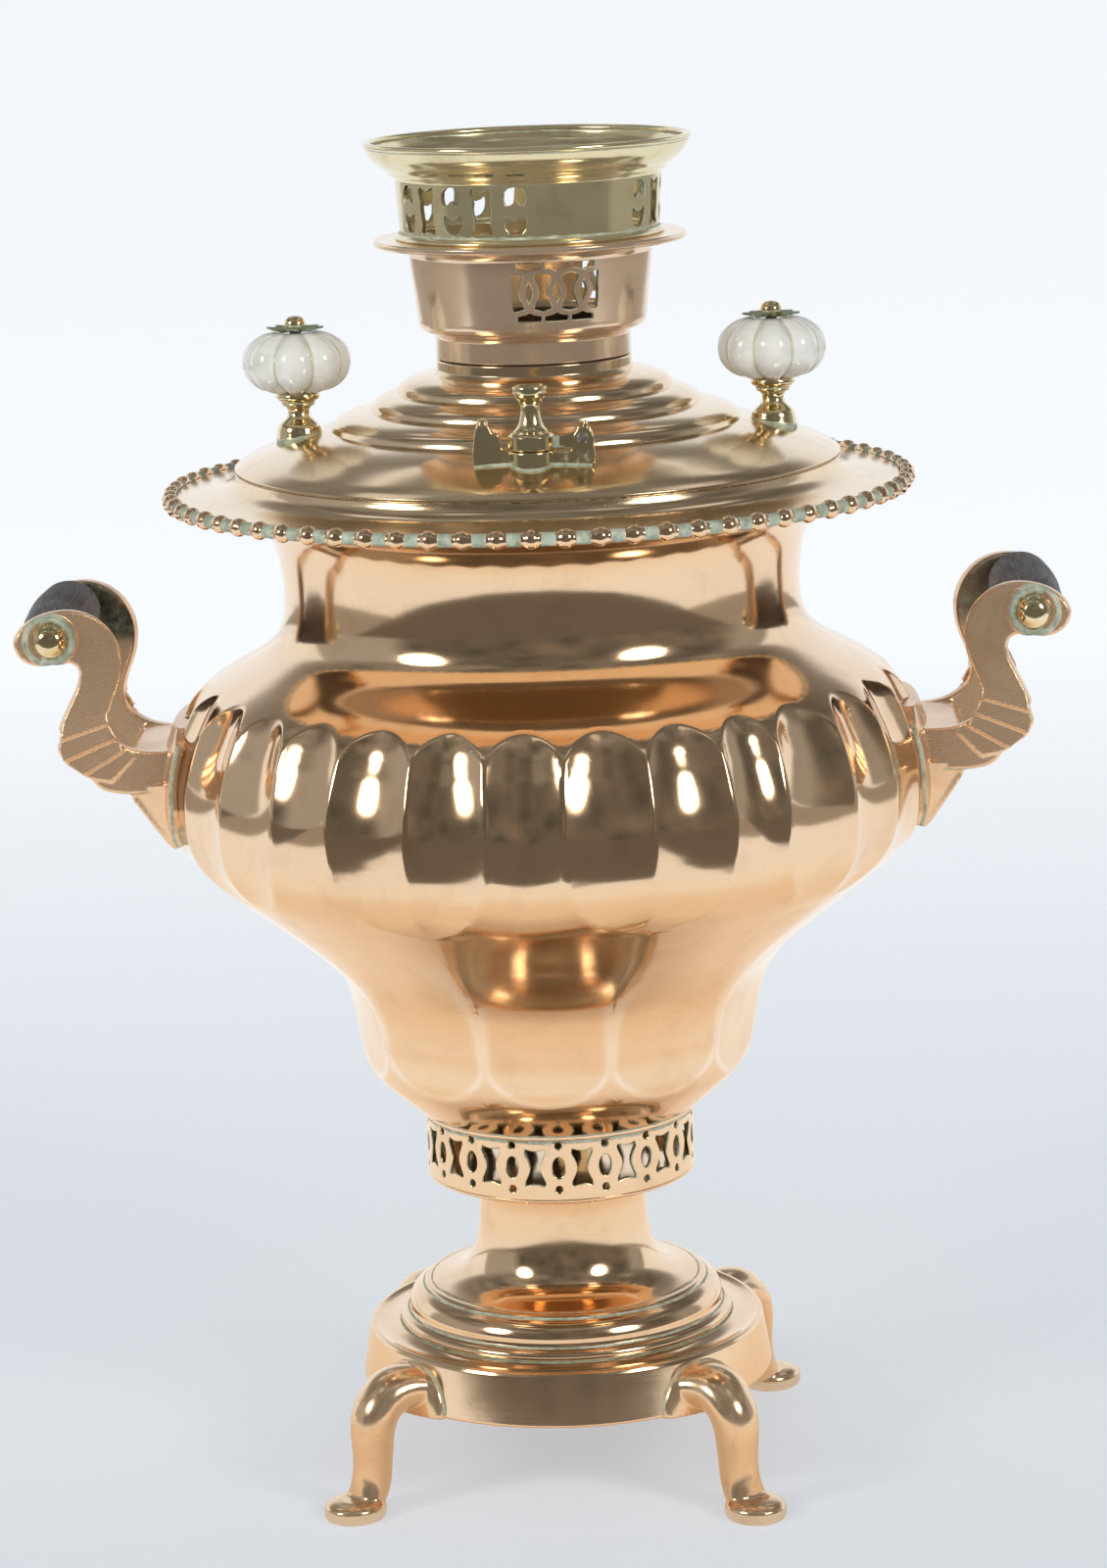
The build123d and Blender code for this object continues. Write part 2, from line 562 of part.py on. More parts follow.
# right halves of the three piercings, from the middle of one edge to the middle of the other
arch_outline = [(0.0, 445.6), (2.0, 445.3), (3.3, 444.0), (3.6, 441.7), (3.1, 439.5), (1.7, 439.8),
                (0.6, 440.9), (0.0, 441.2)]
pot_outline = [(0.0, 434.9), (1.6, 435.3), (2.6, 436.2), (3.5, 436.3), (3.7, 434.4), (3.2, 432.0),
               (1.9, 430.3), (0.0, 429.7)]
tall_outline = [(0.0, 443.9), (1.7, 444.6), (3.4, 445.5), (3.6, 443.0), (2.8, 440.6), (3.2, 438.4),
                (2.9, 436.0), (2.6, 433.6), (3.4, 431.2), (3.2, 429.6), (1.6, 430.4), (0.0, 430.8)]
with BuildPart() as crown_ring:
    with BuildSketch(Plane.XZ):
        with BuildLine():
            Polyline((37.4, 427.8), (37.4, 423.6), (38.8, 423.6), (38.8, crown_seat_z),
                     (44.6, crown_seat_z), (45.0, 427.2), (44.5, 428.0), (43.4, 428.5),
                     (44.5, 446.3))
            Spline((44.5, 446.3), (45.2, 447.8), (47.6, 449.4), (50.6, 451.6), (53.0, 454.6),
                   (54.0, 457.2))
            Polyline((54.0, 457.2), (ring_top_r, 458.0), (54.5, 458.7), (54.1, ring_top_z),
                     (52.2, ring_top_z), (51.9, 458.0), (52.3, 457.2))
            Spline((52.3, 457.2), (51.2, 454.8), (49.2, 452.6), (46.6, 450.9), (43.8, 449.0),
                   (43.0, 446.4))
            Polyline((43.0, 446.4), (41.9, 428.8), (41.4, 427.8), (37.4, 427.8))
        make_face()
    revolve(axis=Axis.Z)
    for centre in piercing_centres:
        for i in (-2, 0, 2):  # arched hole over a pot-shaped one
            for outline in (arch_outline, pot_outline):
                with BuildSketch(radial(centre + i * piercing_pitch, 36.0)):
                    with BuildLine():
                        Polyline(*outline, *[(-x, z) for x, z in outline[-2:0:-1]], close=True)
                    make_face()
        for i in (-1, 1):  # tall waisted hole
            with BuildSketch(radial(centre + i * piercing_pitch, 36.0)):
                with BuildLine():
                    Polyline(*tall_outline, *[(-x, z) for x, z in tall_outline[-2:0:-1]], close=True)
                make_face()
    extrude(amount=14.0, mode=Mode.SUBTRACT)
crown_ring.part.label = "crown_ring"
export_step(crown_ring.part, "parts/crown_ring.step")

# ---- carrying handles -----------------------------------------------------------------
with BuildPart() as tank_core:  # the tank's outside as one solid, for fitting castings to it
    with BuildSketch(Plane.XZ):
        with BuildLine():
            Spline(*tank_outer)
            Polyline(tank_outer[-1], (0, 340.7), (0, 127.5), tank_outer[0])
        make_face()
    revolve(axis=Axis.Z)

# side view of one arm: x and Z of its edge, on a plane splayed away from the other arm
arm_outline = [
    (175.0, 300.4), (173.2, 294.6), (168.6, 291.4), (163.9, 291.5), (158.7, 292.3), (155.5, 291.0),
    (154.0, 287.0), (155.5, 282.5), (160.9, 271.4), (161.6, 268.4), (160.4, 266.0), (162.2, 261.1),
    (161.2, 258.3), (157.6, 256.5), (156.3, 254.1), (153.4, 253.1), (150.0, 249.0), (144.2, 246.2),
    (138.8, 245.4), (128.0, 245.8), (118.0, 247.0), (118.0, 259.0), (127.4, 259.2), (136.9, 260.3),
    (141.9, 262.7), (144.7, 265.6), (145.9, 270.3), (144.9, 275.6), (141.6, 284.6), (141.0, 289.1),
    (141.0, 295.3), (143.6, 301.6), (148.5, 306.5), (156.3, 309.3), (164.7, 308.6), (171.4, 305.2),
]
ca, sa = cos(radians(splay)), sin(radians(splay))
arm_plane = Plane(origin=(118.0, 23.0, 0), x_dir=(ca, sa, 0), z_dir=(sa, -ca, 0))
head_in_y, head_out_y = 29.0, 35.0   # faces of the round head that the rod goes through
leaf_half = [(0, 222.0), (6.0, 227.0), (13.0, 234.0), (20.0, 241.0), (25.0, 248.0),
             (26.4, 256.0), (23.0, 264.0), (15.0, 270.0), (7.0, 274.6), (0, 278.0)]
belly = [p for p in tank_outer if 205.0 < p[1] < 292.0]
with BuildPart() as bracket:
    # leaf plate, lying on the belly
    with BuildSketch(Plane.XZ):
        with BuildLine():
            Polyline(*inward(belly, 4.0), *inward(belly, -3.0)[::-1], close=True)
        make_face()
    revolve(axis=Axis.Z)
    with BuildSketch(Plane.YZ.offset(90.0)):
        with BuildLine():
            Spline(*leaf_half)
            Spline(*[(-y, z) for y, z in leaf_half[::-1]])
        make_face()
    extrude(amount=50.0, mode=Mode.INTERSECT)
    # two arms with a round head each
    with BuildSketch(arm_plane):
        with BuildLine():
            Polyline(*[((x - 118.0) / ca, z) for x, z in arm_outline], close=True)
        make_face()
    extrude(amount=arm_t)
    with BuildSketch(Plane.XZ.offset(-head_out_y)):
        with Locations((grip_x, grip_z)):
            Circle(8.4)
    extrude(amount=head_out_y - head_in_y)
    with BuildSketch(Plane.XZ.offset(-head_out_y)):
        with Locations((grip_x, grip_z)):
            Circle(8.6)
    extrude(amount=-20.0, mode=Mode.SUBTRACT)
    # web between the arms, half of it
    with BuildSketch(Plane.XY.offset(246.5)):
        with BuildLine():
            Polyline((116.0, 0), (141.0, 0), (141.0, 26.0), (116.0, 20.0), close=True)
        make_face()
    extrude(amount=12.5)
    with BuildSketch(Plane.XZ.offset(-60.0)):
        with Locations((grip_x, grip_z)):
            Circle(rod_r)
    extrude(amount=59.0, mode=Mode.SUBTRACT)
    mirror(about=Plane.XZ)
right_bracket = bracket.part - tank_core.part

# turned grip, ribbed, free to turn on the rod
with BuildPart() as grip:
    with BuildSketch(Plane.XY):
        with BuildLine():
            Line((rod_r + 0.08, -26.6), (8.6, -26.6))
            Spline((8.6, -26.6), (10.2, -24.0), (11.0, -18.0), (11.5, -8.0), (11.6, 0.0),
                   (11.5, 8.0), (11.0, 18.0), (10.2, 24.0), (8.6, 26.6))
            Polyline((8.6, 26.6), (rod_r + 0.08, 26.6), (rod_r + 0.08, -26.6))
        make_face()
    revolve(axis=Axis.Y)

with BuildPart() as rod:
    with BuildSketch(Plane.XZ.offset(-38.4)):
        Circle(rod_r)
    extrude(amount=76.8)

with BuildPart() as washers:
    for y in (-head_out_y - 1.0, head_out_y):
        with BuildSketch(Plane.XZ.offset(y)):
            Circle(7.7)
            Circle(rod_r, mode=Mode.SUBTRACT)
        extrude(amount=1.0)

with BuildPart() as nuts:
    with BuildSketch(Plane.XY):
        with BuildLine():
            Line((rod_r, head_out_y + 1.0), (5.6, head_out_y + 1.0))
            Spline((5.6, head_out_y + 1.0), (5.5, 37.8), (4.4, 39.8), (2.4, 40.9), (0.0, 41.2))
            Polyline((0.0, 41.2), (0.0, 38.4), (rod_r, 38.4), (rod_r, head_out_y + 1.0))
        make_face()
    revolve(axis=Axis.Y)
    mirror(about=Plane.XZ)

for side, s in (("right", 1), ("left", -1)):
    cast = right_bracket if s > 0 else mirror(right_bracket, about=Plane.YZ)
    cast.label = f"handle_bracket_{side}"
    export_step(cast, f"parts/handle_bracket_{side}.step")
    for part_, what in ((grip.part, "grip"), (rod.part, "rod"), (washers.part, "washers"),
                        (nuts.part, "nuts")):
        piece = Pos(s * grip_x, 0, grip_z) * part_
        piece.label = f"handle_{what}_{side}"
        export_step(piece, f"parts/handle_{what}_{side}.step")

# ---- tap ------------------------------------------------------------------------------
barrel_top, barrel_bottom = 184.0, 150.0
plug_top_r, plug_bottom_r = 8.4, 7.2      # taper of the plug over the barrel's height
with BuildPart() as tap_flange:
    with BuildSketch(Plane.XY):
        with BuildLine():
            Polyline((shank_r, 60.0), (17.0, 60.0), (17.0, 72.6), (15.8, 74.0))
            Spline((15.8, 74.0), (13.2, 74.6), (11.6, 76.0), (10.6, 78.4))
            Polyline((10.6, 78.4), (9.6, 79.0), (shank_r, 79.0), (shank_r, 60.0))
        make_face()
    revolve(axis=Axis.Y)
piece = Pos(0, 0, tap_z) * tap_flange.part - tank_core.part
piece.label = "tap_flange"
export_step(piece, "parts/tap_flange.step")

with BuildPart() as tap_body:
    # shank, round the Y axis at the tap's height
    with BuildSketch(Plane.XY.offset(tap_z)):
        with BuildLine():
            Polyline((0, 64.0), (shank_r, 64.0), (shank_r, 84.0), (9.6, 85.2), (10.2, 87.0),
                     (9.6, 88.8), (8.2, 90.0))
            Spline((8.2, 90.0), (7.2, 98.0), (7.0, 112.0), (7.4, 128.0), (8.6, 138.0))
            Polyline((8.6, 138.0), (10.4, 139.2), (11.0, 141.0), (10.4, 142.8), (9.0, 144.0),
                     (9.0, tap_y), (0, tap_y), (0, 64.0))
        make_face()
    revolve(axis=Axis(origin=(0, 0, tap_z), direction=(0, 1, 0)))
    # barrel round the plug
    with BuildSketch(Plane.XZ.offset(-tap_y)):
        with BuildLine():
            Polyline((0, barrel_bottom), (11.4, barrel_bottom), (12.0, 151.0), (12.0, 153.4),
                     (11.2, 154.6), (12.0, 166.0), (12.8, 179.6), (13.8, 180.8), (13.8, 183.2),
                     (13.0, barrel_top), (0, barrel_top), close=True)
        make_face()
    revolve(axis=Axis(origin=(0, tap_y, 0), direction=(0, 0, 1)))
    # spout
    with BuildLine():
        spout_path = FilletPolyline((0, tap_y, tap_z), (0, spout_y, tap_z), (0, spout_y, spout_z),
                                    radius=14.0)
    with BuildSketch(Plane(origin=(0, tap_y, tap_z), x_dir=(1, 0, 0), z_dir=(0, 1, 0))):
        Circle(7.2)
    sweep(path=spout_path)
    with BuildSketch(Plane.XY.offset(spout_z)):
        with Locations((0, spout_y)):
            Circle(8.0)
    extrude(amount=3.0)
    # waterway and the tapered seat of the plug
    with BuildSketch(Plane.XZ.offset(-60.0)):
        with Locations((0, tap_z)):
            Circle(tap_bore_r)
    extrude(amount=-(tap_y - 60.0), mode=Mode.SUBTRACT)
    with BuildSketch(Plane(origin=(0, tap_y, tap_z), x_dir=(1, 0, 0), z_dir=(0, 1, 0))):
        Circle(tap_bore_r)
    sweep(path=spout_path, mode=Mode.SUBTRACT)
    with BuildSketch(Plane.XZ.offset(-tap_y)):
        with BuildLine():
            Polyline((0, barrel_bottom), (plug_bottom_r, barrel_bottom), (plug_top_r, barrel_top),
                     (0, barrel_top), close=True)
        make_face()
    revolve(axis=Axis(origin=(0, tap_y, 0), direction=(0, 0, 1)), mode=Mode.SUBTRACT)
tap_body.part.label = "tap_body"
export_step(tap_body.part, "parts/tap_body.step")

plug_gap = 0.04
handle_half = [(3.2, 187.6), (3.4, 191.0), (6.0, 194.0), (12.0, 195.0), (18.0, 197.4), (21.6, 202.0),
               (22.0, 207.6), (19.0, 212.0), (14.0, 213.0), (10.6, 215.4), (9.8, 220.0),
               (6.4, 224.6), (0.0, 226.6)]
with BuildPart() as tap_key:
    with BuildSketch(Plane.XZ):
        with BuildLine():
            Polyline((0, barrel_bottom - 1.0), (3.6, barrel_bottom - 1.0), (3.6, barrel_bottom),
                     (plug_bottom_r - plug_gap, barrel_bottom), (plug_top_r - plug_gap, barrel_top),
                     (plug_top_r - plug_gap, barrel_top + 0.4), (9.0, barrel_top + 1.0),
                     (9.0, 186.8), (6.0, 188.2), (0, 188.2), close=True)
        make_face()
    revolve(axis=Axis.Z)
    # stud for the retaining washer and nut
    with BuildSketch(Plane.XY.offset(140.0)):
        Circle(2.6)
    extrude(amount=barrel_bottom - 140.0)
    # flat cast handle with three eyes
    with BuildSketch(Plane.XZ.offset(-2.2)):
        with BuildLine():
            Spline(*handle_half)
            Spline(*[(-x, z) for x, z in handle_half[::-1]])
            Line((-3.2, 187.6), (3.2, 187.6))
        make_face()
        with Locations((15.0, 204.6), (-15.0, 204.6)):
            Circle(3.8, mode=Mode.SUBTRACT)
        with Locations((0, 216.4)):
            Ellipse(3.6, 5.0, mode=Mode.SUBTRACT)
        with Locations((0, 201.4)):
            Ellipse(3.2, 4.4, mode=Mode.SUBTRACT)
    extrude(amount=4.4)
    # waterway: crosswise to the shank while the tap is shut
    with BuildSketch(Plane.YZ.offset(-15.0)):
        with Locations((0, tap_z)):
            Circle(tap_bore_r)
    extrude(amount=30.0, mode=Mode.SUBTRACT)
piece = Pos(0, tap_y, 0) * tap_key.part
piece.label = "tap_key"
export_step(piece, "parts/tap_key.step")

with BuildPart() as tap_nut:
    with BuildSketch(Plane.XY.offset(barrel_bottom - 2.2)):
        Circle(6.4)
        Circle(2.6, mode=Mode.SUBTRACT)
    extrude(amount=1.2)
    with BuildSketch(Plane.XY.offset(barrel_bottom - 6.2)):
        RegularPolygon(5.2, 6)
        Circle(2.6, mode=Mode.SUBTRACT)
    extrude(amount=4.0)
piece = Pos(0, tap_y, 0) * tap_nut.part
piece.label = "tap_nut"
export_step(piece, "parts/tap_nut.step")
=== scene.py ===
import math

import bpy
import numpy as np
from mathutils import Matrix, Vector


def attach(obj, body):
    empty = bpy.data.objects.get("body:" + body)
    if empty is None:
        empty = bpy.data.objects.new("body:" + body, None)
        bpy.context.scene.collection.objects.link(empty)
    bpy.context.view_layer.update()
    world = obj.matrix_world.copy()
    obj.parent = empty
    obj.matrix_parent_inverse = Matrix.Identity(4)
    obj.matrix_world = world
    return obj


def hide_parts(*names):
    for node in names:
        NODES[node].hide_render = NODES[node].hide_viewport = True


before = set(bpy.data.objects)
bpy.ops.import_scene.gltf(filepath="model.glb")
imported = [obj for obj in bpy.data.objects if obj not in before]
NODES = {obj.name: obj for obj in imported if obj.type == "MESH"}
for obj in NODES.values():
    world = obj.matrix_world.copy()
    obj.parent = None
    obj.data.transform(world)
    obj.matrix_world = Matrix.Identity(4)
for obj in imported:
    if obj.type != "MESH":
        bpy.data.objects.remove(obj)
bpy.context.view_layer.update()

U = 0.001                     # the shapes below are in millimetres
rng = np.random.default_rng(11)


# ======================================================================================
# numbers into meshes
# ======================================================================================
def cubic(points, step=0.8):
    """Natural cubic spline through the points, sampled about every step."""
    p = np.asarray(points, float)
    d = np.r_[0, np.cumsum(np.hypot(*np.diff(p, axis=0).T))]
    n = len(p)
    h = np.diff(d)
    a, rhs = np.zeros((n, n)), np.zeros((n, 2))
    a[0, 0] = a[-1, -1] = 1
    for i in range(1, n - 1):
        a[i, i - 1], a[i, i], a[i, i + 1] = h[i - 1], 2 * (h[i - 1] + h[i]), h[i]
        rhs[i] = 6 * ((p[i + 1] - p[i]) / h[i] - (p[i] - p[i - 1]) / h[i - 1])
    m = np.linalg.solve(a, rhs)
    s = np.linspace(0, d[-1], max(2, int(round(d[-1] / step)) + 1))
    k = np.clip(np.searchsorted(d, s, side="right") - 1, 0, n - 2)
    t, hk = s - d[k], h[k]
    u = hk - t
    return ((m[k] * u[:, None] ** 3 + m[k + 1] * t[:, None] ** 3) / (6 * hk[:, None])
            + (p[k] / hk[:, None] - m[k] * hk[:, None] / 6) * u[:, None]
            + (p[k + 1] / hk[:, None] - m[k + 1] * hk[:, None] / 6) * t[:, None])


def joined(*parts):
    """One path from several, without the repeated points."""
    out = []
    for part in parts:
        for q in np.atleast_2d(np.asarray(part, float)):
            if not out or np.hypot(*(q - out[-1])) > 1e-4:
                out.append(q)
    return np.array(out)


def turn_at(p, closed):
    """Turning angle at each point of a path, left turns positive."""
    a = np.roll(p, 1, 0)
    b = np.roll(p, -1, 0)
    e, f = p - a, b - p
    ang = np.arctan2(e[:, 0] * f[:, 1] - e[:, 1] * f[:, 0], (e * f).sum(1))
    if not closed:
        ang[0] = ang[-1] = 0
    return ang


def soften(p, r=0.3, closed=True, least=20.0, big=()):
    """Rounds the corners of a path. big holds (x, y, radius) for corners with a radius of their own."""
    p = np.asarray(p, float)
    if closed and np.hypot(*(p[0] - p[-1])) < 1e-4:
        p = p[:-1]
    ang = turn_at(p, closed)
    q = np.vstack([p, p[:1]]) if closed else p
    s = np.r_[0, np.cumsum(np.hypot(*np.diff(q, axis=0).T))]
    total = s[-1]
    idx = [i for i in range(len(p)) if abs(math.degrees(ang[i])) > least]
    if not idx:
        return p

    def at(x):
        if closed:
            x = x % total
        return np.array([np.interp(x, s, q[:, 0]), np.interp(x, s, q[:, 1])])

    cuts = []
    for k, i in enumerate(idx):
        rad = r
        for bx, by, br in big:
            if math.hypot(p[i][0] - bx, p[i][1] - by) < 0.35:
                rad = br
        prev = s[idx[k - 1]] if k or closed else 0.0
        nxt = s[idx[(k + 1) % len(idx)]] if k + 1 < len(idx) or closed else total
        back = (s[i] - prev) % total if closed else s[i] - prev
        fore = (nxt - s[i]) % total if closed else nxt - s[i]
        if len(idx) == 1:
            back = fore = total
        d = min(rad * math.tan(abs(ang[i]) / 2), 0.46 * back, 0.46 * fore)
        cuts.append((s[i], d, p[i], abs(math.degrees(ang[i]))))
    out = []
    n = len(p)
    inside = np.zeros(n, bool)
    for sc, d, _, _ in cuts:
        delta = np.abs(s[:n] - sc)
        if closed:
            delta = np.minimum(delta, total - delta)
        inside |= delta <= d + 1e-9
    events = [(s[i], 0, i) for i in range(n) if not inside[i]] + [(c[0], 1, k) for k, c in enumerate(cuts)]
    for _, kind, k in sorted(events):
        if kind == 0:
            out.append(p[k])
        else:
            sc, d, c, deg = cuts[k]
            a, b = at(sc - d), at(sc + d)
            m = 3 + int(deg // 16)
            for t in np.linspace(0, 1, m):
                out.append((1 - t) ** 2 * a + 2 * t * (1 - t) * c + t * t * b)
    return np.array(out)


def support(p, longest=5.0, edge=0.25, closed=True):
    """Splits long straight runs, with a point close to each of their ends."""
    q = np.vstack([p, p[:1]]) if closed else p
    out = [q[0]]
    for a, b in zip(q[:-1], q[1:]):
        length = np.hypot(*(b - a))
        if length > 5 * edge:
            m = max(1, int(math.ceil((length - 2 * edge) / longest)))
            for t in np.linspace(edge / length, 1 - edge / length, m + 1):
                out.append(a + (b - a) * t)
        out.append(b)
    return np.array(out[:-1] if closed else out)


def path_normals(p, closed=True):
    """Outward normals of a path that runs with its solid on the left."""
    if closed:
        t = np.roll(p, -1, 0) - np.roll(p, 1, 0)
    else:
        t = np.gradient(p, axis=0)
        t[0], t[-1] = p[1] - p[0], p[-1] - p[-2]
    n = np.stack([t[:, 1], -t[:, 0]], 1)
    return n / np.maximum(np.hypot(*n.T), 1e-9)[:, None]


def area(p):
    q = np.roll(p, -1, 0)
    return 0.5 * (p[:, 0] * q[:, 1] - q[:, 0] * p[:, 1]).sum()


def grid_faces(rows, cols, wrap_rows, offset=0):
    i = np.arange(rows if wrap_rows else rows - 1)[:, None]
    j = np.arange(cols)[None]
    a, b = i * cols + j, i * cols + (j + 1) % cols
    c, d = ((i + 1) % rows) * cols + (j + 1) % cols, ((i + 1) % rows) * cols + j
    return np.stack([a, b, c, d], -1).reshape(-1, 4) + offset


def mesh(name, verts, faces, normals=None, attrs=None, mats=(), index=None, corner=None, smooth=True):
    """A mesh object from arrays in millimetres. faces is a list of index arrays."""
    me = bpy.data.meshes.new(name)
    faces = [np.asarray(f, np.int64) for f in faces if len(f)]
    counts = np.concatenate([np.full(len(f), f.shape[1]) for f in faces])
    loops = np.concatenate([f.ravel() for f in faces]).astype(np.int32)
    me.vertices.add(len(verts))
    me.vertices.foreach_set("co", (np.asarray(verts, float) * U).astype(np.float32).ravel())
    me.loops.add(len(loops))
    me.loops.foreach_set("vertex_index", loops)
    me.polygons.add(len(counts))
    me.polygons.foreach_set("loop_start", np.r_[0, np.cumsum(counts)[:-1]].astype(np.int32))
    if index is not None:
        me.polygons.foreach_set("material_index", np.asarray(index, np.int32))
    me.polygons.foreach_set("use_smooth", np.full(len(counts), smooth))
    me.update(calc_edges=True)
    for m in mats:
        me.materials.append(m)
    for key, val in (attrs or {}).items():
        a = me.attributes.new(key, "FLOAT", "POINT")
        a.data.foreach_set("value", np.asarray(val, np.float32))
    if normals is not None:
        n = np.asarray(normals, float)
        n = n / np.maximum(np.linalg.norm(n, axis=1), 1e-9)[:, None]
        me.normals_split_custom_set_from_vertices(n.astype(np.float32).tolist())
    ob = bpy.data.objects.new(name, me)
    bpy.context.scene.collection.objects.link(ob)
    return ob


def put(ob, body, stands_for=()):
    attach(ob, body)
    if stands_for:
        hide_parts(*stands_for)
    return ob


def seam_values(p, closed, marks):
    """How green each point of a profile is, from the marks (x, y, width, strength); turned adds marks at inner corners.
    """
    val = np.zeros(len(p))
    for x, y, width, strength in marks:
        d = np.hypot(p[:, 0] - x, p[:, 1] - y)
        val = np.maximum(val, strength * np.exp(-(d / width) ** 2))
    return val


def turned(name, path, segs=192, r=0.3, mats=(), marks=(), big=(), frame_matrix=None, closed=True,
           least=20.0, longest=5.0, cavity=True):
    """A turned piece: the path (radius, height) revolved. An open path begins and ends on the axis."""
    p = np.asarray(path, float)
    if closed and np.hypot(*(p[0] - p[-1])) < 1e-4:
        p = p[:-1]
    full = p if closed else np.vstack([p, p[:1]])
    if area(full) < 0:
        p = p[::-1]
    raw = p.copy()
    ang = turn_at(raw, closed)
    p = support(soften(p, r, closed, least, big), longest, 0.25, closed)
    n = path_normals(p, closed)
    marks = list(marks)
    if cavity:
        for i in range(len(raw)):
            if math.degrees(ang[i]) < -28:
                marks.append((raw[i][0], raw[i][1], 0.55, 0.8))
    green = seam_values(p, closed, marks)
    phi = np.linspace(0, 2 * math.pi, segs, endpoint=False)
    sp, cp = np.sin(phi), np.cos(phi)
    rows = p if closed else p[1:-1]
    rn = n if closed else n[1:-1]
    gv = green if closed else green[1:-1]
    v = np.stack([rows[:, :1] * sp, -rows[:, :1] * cp, np.repeat(rows[:, 1:], segs, 1)], -1).reshape(-1, 3)
    vn = np.stack([rn[:, :1] * sp, -rn[:, :1] * cp, np.repeat(rn[:, 1:], segs, 1)], -1).reshape(-1, 3)
    at = np.repeat(gv, segs)
    faces = [grid_faces(len(rows), segs, closed)]
    if not closed:
        k = len(v)
        v = np.vstack([v, [0, 0, p[0][1]], [0, 0, p[-1][1]]])
        vn = np.vstack([vn, [0, 0, -1.0], [0, 0, 1.0]])
        at = np.r_[at, green[0], green[-1]]
        j = np.arange(segs)
        faces.append(np.stack([np.full(segs, k), (j + 1) % segs, j], 1))
        last = (len(rows) - 1) * segs
        faces.append(np.stack([np.full(segs, k + 1), last + j, last + (j + 1) % segs], 1))
    if frame_matrix is not None:
        m = np.array(frame_matrix, float)
        v = v @ m[:3, :3].T + m[:3, 3]
        vn = vn @ m[:3, :3].T
    return mesh(name, v, faces, vn, {"verd": at}, mats)


def moved(x=0.0, y=0.0, z=0.0, axis="Z"):
    """Matrix, in millimetres, that turns the lathe's Z axis onto axis and moves it."""
    m = Matrix.Identity(4)
    if axis == "-Y":
        m = Matrix.Rotation(math.radians(90), 4, "X")
    if axis == "Y":
        m = Matrix.Rotation(math.radians(-90), 4, "X")
    if axis == "X":
        m = Matrix.Rotation(math.radians(90), 4, "Y")
    return Matrix.Translation((x, y, z)) @ m


# ---- holes through turned pieces -------------------------------------------------------
def grown(outline, d):
    """The outline moved outwards by d."""
    p = np.asarray(outline, float)
    if area(p) < 0:
        p = p[::-1]
    e = p - np.roll(p, 1, 0)
    f = np.roll(p, -1, 0) - p
    e /= np.hypot(*e.T)[:, None]
    f /= np.hypot(*f.T)[:, None]
    n = np.stack([e[:, 1] + f[:, 1], -e[:, 0] - f[:, 0]], 1)
    n /= np.maximum(np.hypot(*n.T), 1e-6)[:, None]
    c = np.clip((n * np.stack([e[:, 1], -e[:, 0]], 1)).sum(1), 0.5, 1)
    return p + n * (d / c)[:, None]


def thinned(p, least):
    """The outline without the points that lie closer than least to the one before."""
    out = [p[0]]
    for q in p[1:]:
        if np.hypot(*(q - out[-1])) > least and np.hypot(*(q - p[0])) > least * 0.9:
            out.append(q)
    return np.array(out)


def ellipse(cx, cy, a, b, n=20):
    t = np.linspace(0, 2 * math.pi, n, endpoint=False)
    return np.stack([cx + a * np.cos(t), cy + b * np.sin(t)], 1)


def smooth_outline(points, step=0.45, keep=()):
    """Closed smooth curve through an outline's points."""
    p = np.asarray(points, float)
    ext = np.vstack([p[-3:], p, p[:3]])
    c = cubic(ext, step)
    d = np.r_[0, np.cumsum(np.hypot(*np.diff(ext, axis=0).T))]
    total = np.r_[0, np.cumsum(np.hypot(*np.diff(c, axis=0).T))]
    sel = (total >= d[3]) & (total < d[-3] - 0.2)
    return c[sel]


def cutter_mesh(holes, radius_at, inside, outside, chamfer):
    """One mesh of all the hole cutters. holes is a list of (phi in degrees, outline in mm)."""
    verts, faces, index, k = [], [], [], 0
    for phi, outline in holes:
        a = math.radians(phi)
        er, et = np.array([math.sin(a), -math.cos(a), 0]), np.array([math.cos(a), math.sin(a), 0])
        p = thinned(grown(outline, 0.0), 0.16)
        wide = grown(p, chamfer + 0.12)
        n = len(p)

        def ring(q, rho):
            return er[None] * np.asarray(rho)[:, None] + et[None] * q[:, :1] + np.array([0, 0, 1.0])[None] * q[:, 1:]

        surf = np.sqrt(np.maximum(radius_at(p[:, 1]) ** 2 - p[:, 0] ** 2, 1))
        surf_w = np.sqrt(np.maximum(radius_at(wide[:, 1]) ** 2 - wide[:, 0] ** 2, 1))
        rings = [ring(p, np.full(n, inside)), ring(p, surf - chamfer), ring(wide, surf_w + 0.12),
                 ring(wide, np.full(n, outside))]
        verts += rings
        j = np.arange(n)
        for level, mat in ((0, 1), (1, 2), (2, 1)):
            a0, b0 = k + level * n, k + (level + 1) * n
            # radial direction out, outline counter-clockwise seen from outside
            f = np.stack([a0 + j, a0 + (j + 1) % n, b0 + (j + 1) % n, b0 + j], 1)
            faces += [list(x) for x in f]
            index += [mat] * n
        faces.append(list(range(k + n - 1, k - 1, -1)))
        faces.append(list(range(k + 3 * n, k + 4 * n)))
        index += [1, 1]
        k += 4 * n
    return np.vstack(verts), faces, index


